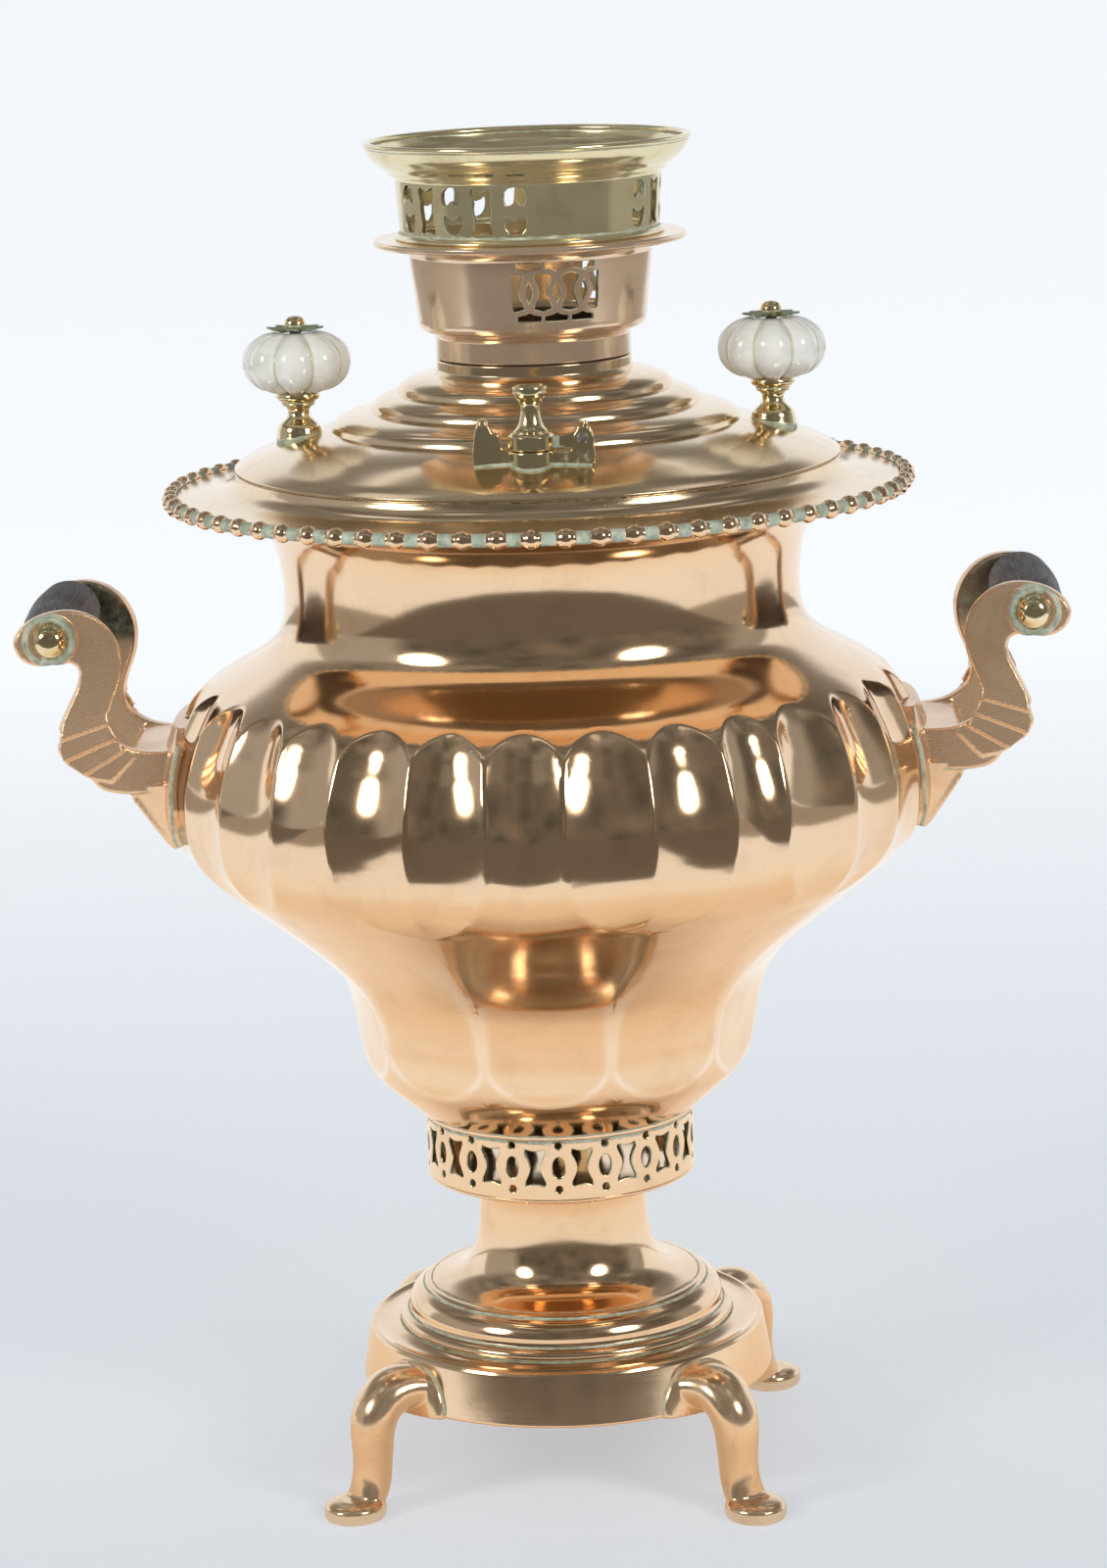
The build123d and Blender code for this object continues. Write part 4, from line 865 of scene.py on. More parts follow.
# the flange: round its edge, then the inside down to the seat
edge_path = joined([(FLANGE_R, 340.75), (FLANGE_R, 342.0), (117.0, 342.0)])
inner_crest = []
for i, (rr, zz) in enumerate(tank_outer):
    a_, b_ = tank_outer[max(i - 1, 0)], tank_outer[min(i + 1, len(tank_outer) - 1)]
    ln = math.hypot(b_[0] - a_[0], b_[1] - a_[1])
    inner_crest.append((rr - (b_[1] - a_[1]) / ln * 1.5, zz + (b_[0] - a_[0]) / ln * 1.5))
inner_crest[0], inner_crest[1] = (46.0, 127.5), (53.2, 134.0)
inner_path = cubic(inner_crest[:-2] + [(117.0, 342.0)], 4.0)[::-1]
# inside of the sheet, sunk with the flutes, on a third of the columns
IC = COLS // 3
iphi = phis[::3]
ic, ip = np.meshgrid(np.arange(len(inner_path)), iphi, indexing="ij")
ir, iz = inner_path[:, 0][ic], inner_path[:, 1][ic]
idp = sink(iz, ip) * np.clip((iz - 136) / 10, 0, 1)
idp = np.where(iz > 281, 0, idp)
ir = ir - idp * 0.96 - 0.25 * (idp > 0.4)
ia = np.radians(ip)
inner = np.stack([ir * np.sin(ia), -ir * np.cos(ia), iz], -1)
edge = soften(edge_path, 0.35, False)[1:-1]
ea = np.radians(phis)
edge_v = np.stack([edge[:, :1] * np.sin(ea), -edge[:, :1] * np.cos(ea), np.repeat(edge[:, 1:], COLS, 1)], -1)
verts = np.vstack([pos.reshape(-1, 3), edge_v.reshape(-1, 3), inner.reshape(-1, 3)])
en = path_normals(soften(edge_path, 0.35, False), False)[1:-1]
edge_n = np.stack([en[:, :1] * np.sin(ea), -en[:, :1] * np.cos(ea), np.repeat(en[:, 1:], COLS, 1)], -1)
ids = np.gradient(inner, axis=0)
idq = np.roll(inner, -1, 1) - np.roll(inner, 1, 1)
inn = np.cross(idq, ids)
inn /= np.maximum(np.linalg.norm(inn, axis=-1), 1e-9)[..., None]
normals = np.vstack([nrm.reshape(-1, 3), edge_n.reshape(-1, 3), inn.reshape(-1, 3)])
R1 = body_rows + len(edge)
faces4 = [grid_faces(R1, COLS, False)]
off = R1 * COLS
faces4.append(grid_faces(len(inner_path), IC, False, off))
# bridges between 648 and 216 columns, at the top (outer last row to inner first) and at the seat


def bridge(fine_start, coarse_start, flip):
    tris, quads = [], []
    j = np.arange(IC)
    f0, f1, f2, f3 = (fine_start + (3 * j + k) % COLS for k in range(4))
    c0, c1 = coarse_start + j, coarse_start + (j + 1) % IC
    t = [np.stack([f0, f1, c0], 1), np.stack([f1, f2, c0], 1), np.stack([f2, c1, c0], 1), np.stack([f2, f3, c1], 1)]
    t = np.vstack(t)
    return t[:, ::-1] if flip else t


top = bridge((R1 - 1) * COLS, off, False)
seat = bridge(0, off + (len(inner_path) - 1) * IC, True)
zall = verts[:, 2]
rall = np.hypot(verts[:, 0], verts[:, 1])
cav = np.zeros(len(verts))
cav[:body_rows * COLS] = np.clip(dep.ravel() / 3.0, 0, 1) ** 2
green = np.zeros(len(verts))
green[:body_rows * COLS] = (1.0 * np.exp(-((S.ravel() - 0.0) / 1.3) ** 2))
green[:body_rows * COLS] += 0.52 * np.exp(-((crest_s[-1] - S.ravel()) / 1.2) ** 2)
idx_out = R1 * COLS
# the edges of the petals are tinted pale: partly wear, partly a painted highlight for the light their crests catch
rim_ = np.zeros(len(verts))
zb = zall[:body_rows * COLS]
rim_[:body_rows * COLS] = np.exp(-((dep.ravel() - 0.25) / 0.35) ** 2) * ramp01(zb, 140, 144) * ramp01(zb, 206, 188)
from_tap = np.hypot(np.arctan2(verts[:, 0], verts[:, 1]) * 71.0, zall - 166.0)
rim_ *= ramp01(from_tap, 24.0, 32.0)
mi = np.concatenate([np.zeros(len(faces4[0])), np.ones(len(faces4[1])), np.zeros(len(top)), np.zeros(len(seat))])
# the crest attribute carries that pale tint: painted highlight and wear along the petal edges
tank = mesh("tank_body", verts, [faces4[0], faces4[1], top, seat], normals, {"verd": green, "cavity": cav, "crest": rim_},
            (TOMBAC_TANK, TOMBAC_IN), index=mi)
put(tank, "root", [n for n in NODES if n.startswith("tank_") and n != "tank_floor"])
col_r = np.hypot(pos[..., 0], pos[..., 1])
col_z = pos[..., 2]


def tank_radius(phi_deg, z):
    """Radius of the tank's outside at an angle and a height between 150 and 290."""
    j = np.round((phi_deg - PHI_F) / (360.0 / COLS)).astype(int) % COLS
    out = np.zeros_like(z)
    for jj in np.unique(j):
        m = j == jj
        k = (col_z[:, jj] > 140) & (col_z[:, jj] < 300)
        zz, rr = col_z[k, jj], col_r[k, jj]
        o = np.argsort(zz)
        out[m] = np.interp(z[m], zz[o], rr[o])
    return out


# ---- rim collar and beads ---------------------------------------------------------------
collar = joined([(97.0, 344.0), (98.4, 344.0), (98.4, 349.2), (100.7, 349.2)],
                cubic([(100.7, 349.2), (101.2, 347.8), (103.6, 345.1), (108.2, 343.4), (112.0, 342.7), (117.0, 342.0)], 1.0),
                [(FLANGE_R, 342.0), (FLANGE_R, 343.4)],
                cubic([(FLANGE_R, 343.4), (119.0, 343.5), (114.0, 344.0), (108.5, 344.9), (104.6, 346.4), (102.6, 348.6),
                       (102.0, 350.8)], 0.8),
                [(97.0, 350.8), (97.0, 344.0)])
ob = turned("rim_collar_turned", collar, 288, 0.4, (TOMBAC_LID,), marks=[(FLANGE_R - 0.2, 343.5, 0.8, 0.8)])
put(ob, "root", ["rim_collar"])

BR, BZ, BEAD, NB = 123.8, 342.6, 3.1, 72
BC, BRWS = 72 * 26, 22
bphi = np.arange(BC) * 2 * math.pi / BC
pitch = 2 * math.pi * BR / NB
sarc = (np.mod(bphi / (2 * math.pi) * NB + 0.5, 1.0) - 0.5) * pitch
size = 1 + rng.normal(0, 0.025, NB)
size = size[(np.floor(bphi / (2 * math.pi) * NB + 0.5).astype(int)) % NB]
ball = np.sqrt(np.maximum((BEAD * size) ** 2 - sarc ** 2, 0))
neckr = 2.15 + 0.0 * sarc
d_ = ball - neckr
smooth = np.maximum(0.55 - np.abs(d_), 0) / 0.55
tube = np.minimum(np.maximum(ball, neckr) + smooth ** 2 * 0.55 / 4, BEAD * size)
th = np.arange(BRWS) * 2 * math.pi / BRWS
TH, PH = np.meshgrid(th, bphi, indexing="ij")
TB = np.repeat(tube[None], BRWS, 0)
rr = BR - TB * np.cos(TH)
zz = BZ - TB * np.sin(TH) * 1.0
rr = np.maximum(rr, FLANGE_R + 0.02)
bv = np.stack([rr * np.sin(PH), -rr * np.cos(PH), zz], -1)
dth = np.roll(bv, -1, 0) - np.roll(bv, 1, 0)
dph = np.roll(bv, -1, 1) - np.roll(bv, 1, 1)
bn = np.cross(dph, dth)
bn /= np.maximum(np.linalg.norm(bn, axis=-1), 1e-9)[..., None]
gap = ramp01(np.abs(sarc), 2.75, 3.35)
gv = np.repeat(gap[None], BRWS, 0)
beads = mesh("beads", bv.reshape(-1, 3), [grid_faces(BRWS, BC, True)], bn.reshape(-1, 3), {"verd": gv.ravel() * 1.0}, (TOMBAC,))
put(beads, "root", ["bead_ring"])

# ---- inside parts -----------------------------------------------------------------------
tube_outer = [(42.0, 127.5), (41.6, 150.0), (40.4, 190.0), (38.0, 240.0), (35.0, 285.0), (32.4, 322.0), (31.0, 345.0), (30.8, 356.0)]
t_out = joined(cubic(tube_outer, 3.0), [(30.8, 398.1), (29.3, 398.1), (29.3, 356.0)], cubic([(r - 1.5, z) for r, z in tube_outer[::-1]], 3.0))
ob = turned("fire_tube_drawn", t_out, 128, 0.4, (SOOT,))
put(ob, "root", ["fire_tube"])
dress("tank_floor", TOMBAC_IN)
dress("fire_grate", IRON)

# ======================================================================================
# lid
# ======================================================================================
neck = [(32.9, 386.0), (32.9, 382.6), (33.9, 381.3)]
tier_1 = [(33.9, 381.3), (38.5, 380.5), (43.0, 379.2), (45.6, 377.3), (46.3, 375.2)]
tier_2 = [(46.3, 375.2), (50.3, 374.4), (53.3, 373.0), (55.0, 371.4), (55.5, 369.7)]
tier_3 = [(55.5, 369.7), (61.0, 368.7), (65.4, 367.4), (68.2, 365.6), (69.1, 363.4)]
dish = [(69.1, 363.4), (74.5, 362.3), (79.8, 361.0), (88.0, 358.3), (95.0, 355.6), (100.0, 353.3), (102.0, 352.0)]


def under(points):
    return [(r, z - 1.2) for r, z in points[::-1]]


lid_path = joined(neck, cubic(tier_1, 0.7), cubic(tier_2, 0.7), cubic(tier_3, 0.7), cubic(dish, 1.2),
                  [(102.0, 350.8), (99.4, 350.8), (98.4, 352.6), (96.5, 353.6), (96.5, 342.5), (95.3, 342.5), (95.3, 354.2)],
                  cubic([(95.3, 354.2)] + under(dish)[3:], 2.0), cubic(under(tier_3), 1.5), cubic(under(tier_2), 1.5),
                  cubic(under(tier_1), 1.5), [(33.9, 380.1), (31.7, 381.6), (31.7, 386.0), (32.9, 386.0)])
ob = turned("lid_spun", lid_path, 288, 0.5, (TOMBAC_LID,), cavity=False,
            marks=[(33.3, 382.2, 0.4, 0.6), (102.0, 350.9, 0.5, 0.6)])
put(ob, "lid", ["lid"])

KX = 79.8
for side, kx in (("left", -KX), ("right", KX)):
    m = moved(kx, 0, 0)
    slope = -0.31
    stem = joined([(0, 360.3), (7.9, 360.3), (7.9, 361.6), (7.5, 363.0)],
                  cubic([(7.5, 363.0), (7.0, 364.8), (5.2, 366.6), (3.9, 368.4), (3.7, 370.0), (4.3, 371.2)], 0.4),
                  [(4.6, 371.5)],
                  cubic([(4.6, 371.5), (5.4, 371.7), (5.8, 372.2), (5.5, 372.8)], 0.25),
                  cubic([(5.5, 372.8), (6.4, 373.4), (7.3, 374.2), (7.4, 375.2), (7.0, 376.2)], 0.4), [(0, 376.2)])
    ob = turned(f"knob_stem_{side}_turned", stem, 96, 0.25, (BRASS,), closed=False, frame_matrix=m,
                marks=[(7.9, 361.0, 1.2, 1.0), (4.7, 371.5, 0.5, 1.0), (5.5, 372.8, 0.45, 0.9), (7.0, 376.0, 0.6, 0.6)])
    # the foot of the stem lies on the sloping lid
    me = ob.data
    co = np.empty(len(me.vertices) * 3, np.float32)
    me.vertices.foreach_get("co", co)
    co = co.reshape(-1, 3)
    rad = np.hypot(co[:, 0], co[:, 1]) / U
    lidz = np.interp(rad, [r for r, z in dish], [z for r, z in dish])
    low = np.clip((363.0 - co[:, 2] / U) / 2.0, 0, 1)
    co[:, 2] += (low * (lidz - 361.0)) * U
    me.vertices.foreach_set("co", co.ravel())
    me.update()
    put(ob, "lid", [f"knob_stem_{side}"])

    # porcelain melon with eight lobes
    prof = joined([(2.0, 396.0), (2.0, 376.2)][::-1] * 0 + [(0.001, 376.2), (7.4, 376.2)],
                  cubic([(7.4, 376.2), (10.2, 376.5), (14.4, 378.5), (17.4, 382.2), (18.2, 386.4), (17.2, 390.8), (14.0, 394.2),
                         (9.8, 396.2), (6.4, 396.4), (4.6, 395.9)], 0.45), [(0.001, 395.9)])
    pn = path_normals(prof, False)
    K, MR = 192, len(prof)
    ang = np.arange(K) * 2 * math.pi / K
    lobe_u = (np.mod(ang / (2 * math.pi) * 8 + 0.5, 1.0) - 0.5) * 2      # 0 at a crest, 1 in a crease
    shape = flute(lobe_u, 0.86)
    amp = 2.3 * ramp01(prof[:, 0], 5.0, 13.0)
    A, PR = np.meshgrid(ang, prof[:, 0], indexing="xy")
    PZ = np.repeat(prof[:, 1:], K, 1)
    soft = -0.25 * np.exp(-((np.abs(lobe_u) - 1) / 0.09) ** 2)
    D = amp[:, None] * (shape + soft)[None]
    rr = PR - pn[:, :1] * D
    zz = PZ - pn[:, 1:] * D
    mv = np.stack([rr * np.cos(A), rr * np.sin(A), zz], -1)
    ds_ = np.gradient(mv, axis=0)
    dp_ = np.roll(mv, -1, 1) - np.roll(mv, 1, 1)
    mn = np.cross(dp_, ds_)
    mn /= np.maximum(np.linalg.norm(mn, axis=-1), 1e-9)[..., None]
    mn[0], mn[-1] = (0, 0, -1), (0, 0, 1)
    cr = np.exp(-((np.abs(lobe_u) - 1) / 0.13) ** 2)[None] * ramp01(prof[:, 0], 4, 9)[:, None]
    cr = np.maximum(cr, (1 - ramp01(np.hypot(prof[:, 0], 0), 5.5, 9.5))[:, None] * 0.9)
    mv = mv + np.array([kx, 0, 0])
    v = mv[1:-1].reshape(-1, 3)
    nn = mn[1:-1].reshape(-1, 3)
    k = len(v)
    v = np.vstack([v, [kx, 0, 376.2], [kx, 0, 395.9]])
    nn = np.vstack([nn, [0, 0, -1], [0, 0, 1]])
    cr = np.r_[cr[1:-1].ravel(), 0.5, 0.5]
    j = np.arange(K)
    f = [grid_faces(MR - 2, K, False), np.stack([np.full(K, k), (j + 1) % K, j], 1),
         np.stack([np.full(K, k + 1), (MR - 3) * K + j, (MR - 3) * K + (j + 1) % K], 1)]
    ob = mesh(f"knob_melon_{side}_glazed", v, f, nn, {"crease": cr}, (PORCELAIN,))
    put(ob, "lid", [f"knob_melon_{side}"])

    # leaf rosette: eight thin petals, cupped over the melon's top
    K, MR = 160, 12
    ang = np.arange(K) * 2 * math.pi / K
    pet = np.abs(np.cos(ang * 4 + 0.2)) ** 0.75
    edge_r = 5.2 + 4.4 * pet
    frac = np.linspace(0.0, 1.0, MR)
    jit = rng.normal(0, 0.35, 8)[(np.floor((ang * 4 + 0.2) / math.pi + 0.5).astype(int)) % 8]
    RR = 2.1 + (edge_r[None] - 2.1) * frac[:, None]
    ZT = 398.3 - 0.9 * (RR / 9.6) ** 2 * 1.2 + (0.5 + 0.5 * jit)[None] * frac[:, None] ** 3 * pet[None]
    ZT = ZT + 0.28 * np.cos(ang * 8 + 0.4)[None] * frac[:, None]
    topv = np.stack([RR * np.cos(ang), RR * np.sin(ang), ZT], -1)
    botv = topv.copy()
    botv[..., 2] -= 0.55
    v = np.concatenate([topv, botv[::-1]], 0)
    v[..., 0] += kx
    rows_n = 2 * MR
    ob = mesh(f"knob_leaf_{side}_stamped", v.reshape(-1, 3), [grid_faces(rows_n, K, True)[:, ::-1]], None, {"verd": np.zeros(rows_n * K)}, (LEAF,))
    ob.data.set_sharp_from_angle(angle=math.radians(50))
    put(ob, "lid", [f"knob_leaf_{side}"])

    nut = joined([(0, 398.0), (3.6, 398.0), (3.7, 398.6)], cubic([(3.7, 398.6), (3.5, 399.9), (2.4, 401.2), (0.9, 401.7), (0, 401.8)], 0.3))
    ob = turned(f"knob_nut_{side}_domed", nut, 64, 0.15, (BRASS,), closed=False, frame_matrix=m, marks=[(3.7, 398.4, 0.5, 1.0)])
    put(ob, "lid", [f"knob_nut_{side}"])
dress("knob_studs", STEEL)
dress("knob_lock_nuts", BRASS)

# ======================================================================================
# crown and its ring
# ======================================================================================
crown_path = joined(
    [(31.2, 398.1), (31.2, 386.5), (32.7, 386.5), (32.7, 393.4)],
    cubic([(32.7, 393.4), (33.4, 394.8), (36.4, 395.8), (37.9, 397.4), (38.3, 399.6)], 0.4),
    [(38.3, 399.6), (40.7, 420.8)],
    cubic([(40.7, 420.8), (41.4, 422.4), (44.2, 423.8), (48.6, 424.2)], 0.5),
    [(51.8, 424.2), (52.3, 424.8), (52.3, 425.9), (51.8, 426.5), (39.3, 426.5), (39.2, 420.8), (36.9, 400.6), (36.6, 399.6),
     (28.0, 399.6), (28.0, 398.1), (31.2, 398.1)])
slot = [(-3.9, 9.6), (3.9, 9.6), (3.9, 7.9), (1.4, 7.5), (0.0, 6.8), (-1.4, 7.5), (-3.9, 7.9)]
waist2 = [(-2.9, 5.5), (0.0, 6.3), (2.9, 5.5), (2.5, 3.6), (1.5, 1.8), (1.15, 0.0), (1.5, -1.8),
          (2.5, -3.6), (2.9, -5.5), (0.0, -6.3), (-2.9, -5.5), (-2.5, -3.6), (-1.5, -1.8), (-1.15, 0.0), (-1.5, 1.8), (-2.5, 3.6)]
half = [(0.5, 6.2), (2.9, 5.5), (2.5, 3.6), (1.5, 1.8), (1.15, 0.0), (1.5, -1.8), (2.5, -3.6), (2.9, -5.5), (0.5, -6.2), (-0.9, -6.2), (-0.9, 6.2)]
t5 = np.linspace(0, 1, 9)
oval = np.vstack([np.stack([1.15 * np.sin(math.pi * t5), -3.4 + 6.8 * t5], 1)[:-1], np.stack([-1.15 * np.sin(math.pi * t5), 3.4 - 6.8 * t5], 1)[:-1]])
WZ = 410.8
holes = []
for centre in (13.3, 133.3, 253.3):
    for i in (-1, 0, 1):
        holes.append((centre + i * 13.4, oval + [0, WZ]))
        for s_ in (-1, 1):
            q = np.array(slot) * [1, s_]
            holes.append((centre + i * 13.4, soften(q, 0.3, True, 15) + [0, WZ]))
    for i in (-0.5, 0.5):
        holes.append((centre + i * 13.4, soften(np.array(waist2), 0.4, True, 14) + [0, WZ]))
    for i, s_ in ((-1.5, 1), (1.5, -1)):
        holes.append((centre + i * 13.4, soften(np.array(half) * [s_, 1], 0.3, True, 14) + [0, WZ]))
ob = turned("crown_cup", crown_path, 240, 0.3, (TOMBAC_CROWN, WALL, EDGE), marks=[(33.2, 393.9, 0.5, 0.4), (40.9, 421.5, 0.5, 0.3)],
            longest=3.0, big=[(38.3, 399.6, 1.0), (52.3, 424.8, 0.5), (52.3, 425.9, 0.5)])
pierce(ob, outer_path(crown_path, 0.3, longest=3.0, big=[(38.3, 399.6, 1.0), (52.3, 424.8, 0.5), (52.3, 425.9, 0.5)]), holes,
       33.0, 46.0, lambda z: np.interp(z, [399.6, 420.8], [38.3, 40.7]), 0.22)
put(ob, "crown", ["crown"])

ring_path = joined(
    [(37.4, 427.8), (37.4, 423.6), (38.8, 423.6), (38.8, 426.5), (44.6, 426.5)],
    cubic([(44.6, 426.5), (45.05, 427.0), (44.7, 427.8), (43.6, 428.6)], 0.25),
    [(43.4, 429.0), (44.5, 446.3)],
    cubic([(44.5, 446.3), (45.0, 447.1), (46.2, 447.7), (47.0, 448.9), (48.4, 449.9), (50.6, 451.6), (53.0, 454.6), (54.0, 457.0)], 0.45),
    cubic([(54.0, 457.0), (54.55, 457.6), (54.6, 458.4), (54.1, 459.0), (53.2, 459.0), (52.3, 458.7), (51.9, 457.9), (52.1, 457.1)], 0.25),
    cubic([(52.1, 457.1), (51.2, 454.8), (49.2, 452.6), (46.6, 450.9), (43.8, 449.0), (43.0, 446.4)], 0.5),
    [(43.0, 446.4), (41.9, 428.8), (41.4, 427.8), (37.4, 427.8)])
arch = [(0.0, 445.6), (2.0, 445.3), (3.3, 444.0), (3.6, 441.7), (3.1, 439.5), (1.7, 439.8), (0.6, 440.9), (0.0, 441.2)]
pot = [(0.0, 434.9), (1.6, 435.3), (2.6, 436.2), (3.5, 436.3), (3.7, 434.4), (3.2, 432.0), (1.9, 430.3), (0.0, 429.7)]
tall = [(0.0, 443.9), (1.7, 444.6), (3.4, 445.5), (3.6, 443.0), (2.8, 440.6), (3.2, 438.4),
        (2.9, 436.0), (2.6, 433.6), (3.4, 431.2), (3.2, 429.6), (1.6, 430.4), (0.0, 430.8)]


def whole(h):
    return soften(np.array(h + [(-x, z) for x, z in h[-2:0:-1]]), 0.5, True, 12)


holes = []
for centre in (-33.8, 86.2, 206.2):
    for i in (-2, 0, 2):
        holes += [(centre + i * 14.6, whole(arch)), (centre + i * 14.6, whole(pot))]
    for i in (-1, 1):
        holes.append((centre + i * 14.6, whole(tall)))
ob = turned("crown_upper", ring_path, 240, 0.25, (BRASS_DARK, WALL, EDGE), marks=[(43.5, 428.8, 0.6, 0.5), (45.0, 427.0, 0.5, 0.3)], longest=3.0)
pierce(ob, outer_path(ring_path, 0.25, longest=3.0), holes, 39.0, 50.0, lambda z: np.interp(z, [429.0, 446.3], [43.4, 44.5]), 0.25)
put(ob, "crown_ring", ["crown_ring"])

# ======================================================================================
# cast pieces: feet, handle brackets, vent
# ======================================================================================
def stack(rings, cap=True):
    """Closed shape through a list of rings with equal numbers of points."""
    n = len(rings[0])
    v = np.vstack(rings)
    f = grid_faces(len(rings), n, False)
    faces = [list(q) for q in f]
    if cap:
        faces.append(list(range(n - 1, -1, -1)))
        faces.append(list(range(len(v) - n, len(v))))
    return v, faces


def plate(outline, place, thick, bevel=0.7):
    """An outline with thickness. place(u, w, t) gives points; t runs from 0 to thick."""
    p = np.asarray(outline, float)
    if area(p) < 0:
        p = p[::-1]
    inset = grown(p, -bevel)
    mid = grown(p, -bevel * 0.29)
    return stack([place(inset, 0.0), place(mid, bevel * 0.29), place(p, bevel), place(p, thick - bevel),
                  place(mid, thick - bevel * 0.29), place(inset, thick)])


def fuse(name, shapes, voxel, relax=6, mats=(), attr=None, project=None):
    """One casting from overlapping closed shapes."""
    verts, faces, k = [], [], 0
    for v, f in shapes:
        verts.append(v)
        faces += [[i + k for i in q] for q in f]
        k += len(v)
    me = bpy.data.meshes.new(name)
    me.from_pydata((np.vstack(verts) * U).tolist(), [], faces)
    ob_ = bpy.data.objects.new(name, me)
    scene_ = bpy.context.scene
    scene_.collection.objects.link(ob_)
    mod = ob_.modifiers.new("cast", "REMESH")
    mod.mode, mod.voxel_size, mod.adaptivity, mod.use_smooth_shade = "VOXEL", voxel * U, 0.0, True
    new = bpy.data.meshes.new_from_object(ob_.evaluated_get(bpy.context.evaluated_depsgraph_get()))
    bpy.data.objects.remove(ob_)
    bpy.data.meshes.remove(me)
    n = len(new.vertices)
    co = np.empty(n * 3, np.float32)
    new.vertices.foreach_get("co", co)
    co = co.reshape(-1, 3).astype(float) / U
    ed = np.empty(len(new.edges) * 2, np.int32)
    new.edges.foreach_get("vertices", ed)
    a, b = ed.reshape(-1, 2).T
    deg = np.maximum(np.bincount(a, minlength=n) + np.bincount(b, minlength=n), 1)[:, None]
    for step in range(relax * 2):
        acc = np.stack([np.bincount(a, co[b, i], n) + np.bincount(b, co[a, i], n) for i in range(3)], 1)
        co = co + (0.55 if step % 2 == 0 else -0.57) * (acc / deg - co)
    if project is not None:
        co = project(co)
    new.vertices.foreach_set("co", (co * U).astype(np.float32).ravel())
    new.polygons.foreach_set("use_smooth", np.full(len(new.polygons), True))
    new.update()
    for m in mats:
        new.materials.append(m)
    nn = np.empty(n * 3, np.float32)
    new.vertices.foreach_get("normal", nn)
    for key, val in (attr(co, nn.reshape(-1, 3)) if attr else {"verd": np.zeros(n)}).items():
        at_ = new.attributes.new(key, "FLOAT", "POINT")
        at_.data.foreach_set("value", val.astype(np.float32))
    new.name = name
    ob_ = bpy.data.objects.new(name, new)
    scene_.collection.objects.link(ob_)
    return ob_


# ---- feet ---------------------------------------------------------------------------------
def band_r(z):
    return 68.6 + (49.4 - z) / (49.4 - 32.5) * 2.8


leg_table = np.array([  # along the leg: centre x, centre z, slope, half width, half height
    (66.0, 40.4, 4.0, 13.6, 7.4), (70.5, 40.8, -2.0, 12.4, 7.8), (75.0, 41.0, -10.0, 10.4, 7.9),
    (79.6, 40.2, -24.0, 9.4, 7.8), (83.4, 37.6, -44.0, 8.9, 7.6), (86.2, 33.6, -64.0, 8.5, 7.5), (87.4, 28.6, -80.0, 7.9, 7.3),
    (87.6, 22.6, -90.0, 7.2, 6.9), (87.9, 16.6, -88.0, 6.8, 6.6), (88.9, 10.8, -74.0, 6.9, 6.5), (91.2, 6.2, -56.0, 7.4, 5.4),
    (94.2, 3.4, -30.0, 7.6, 3.4)])
tt = np.r_[0, np.cumsum(np.hypot(*np.diff(leg_table[:, :2], axis=0).T))]
tn = np.linspace(0, tt[-1], 60)
cols_ = []
for i in range(5):
    c_ = cubic(np.stack([tt, leg_table[:, i]], 1), 0.2)
    cols_.append(np.interp(tn, c_[:, 0], c_[:, 1]))
leg_rings = []
ang_ = np.linspace(0, 2 * math.pi, 40, endpoint=False)
for cx, cz, sl, hw, hh in zip(*cols_):
    a_ = math.radians(sl)
    # y across, and the leg's upper side along (-sin, cos)
    w_ = np.cos(ang_) * hw
    h_ = np.sin(ang_) * hh
    leg_rings.append(np.stack([cx - math.sin(a_) * h_, w_, cz + math.cos(a_) * h_], 1))
shapes = [stack(leg_rings)]
pad = []
for z_, k_, dx in ((0.0, 0.90, 0.0), (0.45, 0.97, 0.0), (1.5, 1.02, 0.0), (3.0, 1.03, 0.0), (4.6, 1.0, 0.0), (5.6, 0.92, -0.2),
                   (6.3, 0.80, -0.6), (6.7, 0.60, -1.2)):
    pad.append(np.stack([96.0 + dx + 10.6 * k_ * np.cos(ang_), 9.9 * k_ * np.sin(ang_), np.full(40, z_)], 1))
shapes.append(stack(pad))
# the shield: a half ellipse bent round the band, fuller towards the leg
us, vs = np.linspace(-1, 1, 41), np.linspace(0, 1, 24)
front, rear = [], []
for v_ in vs:
    zz_ = 32.5 + 16.6 * v_
    half_w = 17.0 * math.sqrt(max(1 - v_ ** 2, 0.0004))
    y_ = half_w * us
    edge_ = np.minimum((1 - np.abs(us)) * half_w, 16.6 * (1 - v_) + 0.001)
    swell = 1.5 + 0.9 * ramp01(edge_, 0, 1.2) + 2.6 * np.exp(-((y_ / 11.0) ** 2 + ((zz_ - 39.0) / 9.0) ** 2)) * ramp01(edge_, 0, 4.0)
    rb = band_r(zz_)
    front.append(np.stack([np.sqrt(np.maximum((rb + swell) ** 2 - y_ ** 2, 1)), y_, np.full(41, zz_)], 1))
    rear.append(np.stack([np.sqrt(np.maximum((rb - 1.6) ** 2 - y_ ** 2, 1)), y_, np.full(41, zz_)], 1))
loops_ = [np.vstack([f_, r_[::-1]]) for f_, r_ in zip(front, rear)]
shapes.append(stack(loops_))


def foot_fit(co):
    r_ = np.hypot(co[:, 0], co[:, 1])
    lim = band_r(np.clip(co[:, 2], 32.5, 49.4)) - 0.05
    lim = np.where(co[:, 2] < 32.4, np.minimum(r_, 71.0), lim)
    k_ = np.where((r_ < lim) & (co[:, 2] > 30.5), lim / np.maximum(r_, 1), 1.0)
    co = co.copy()
    co[:, :2] *= k_[:, None]
    co[:, 2] = np.maximum(co[:, 2], 0.0)
    return co


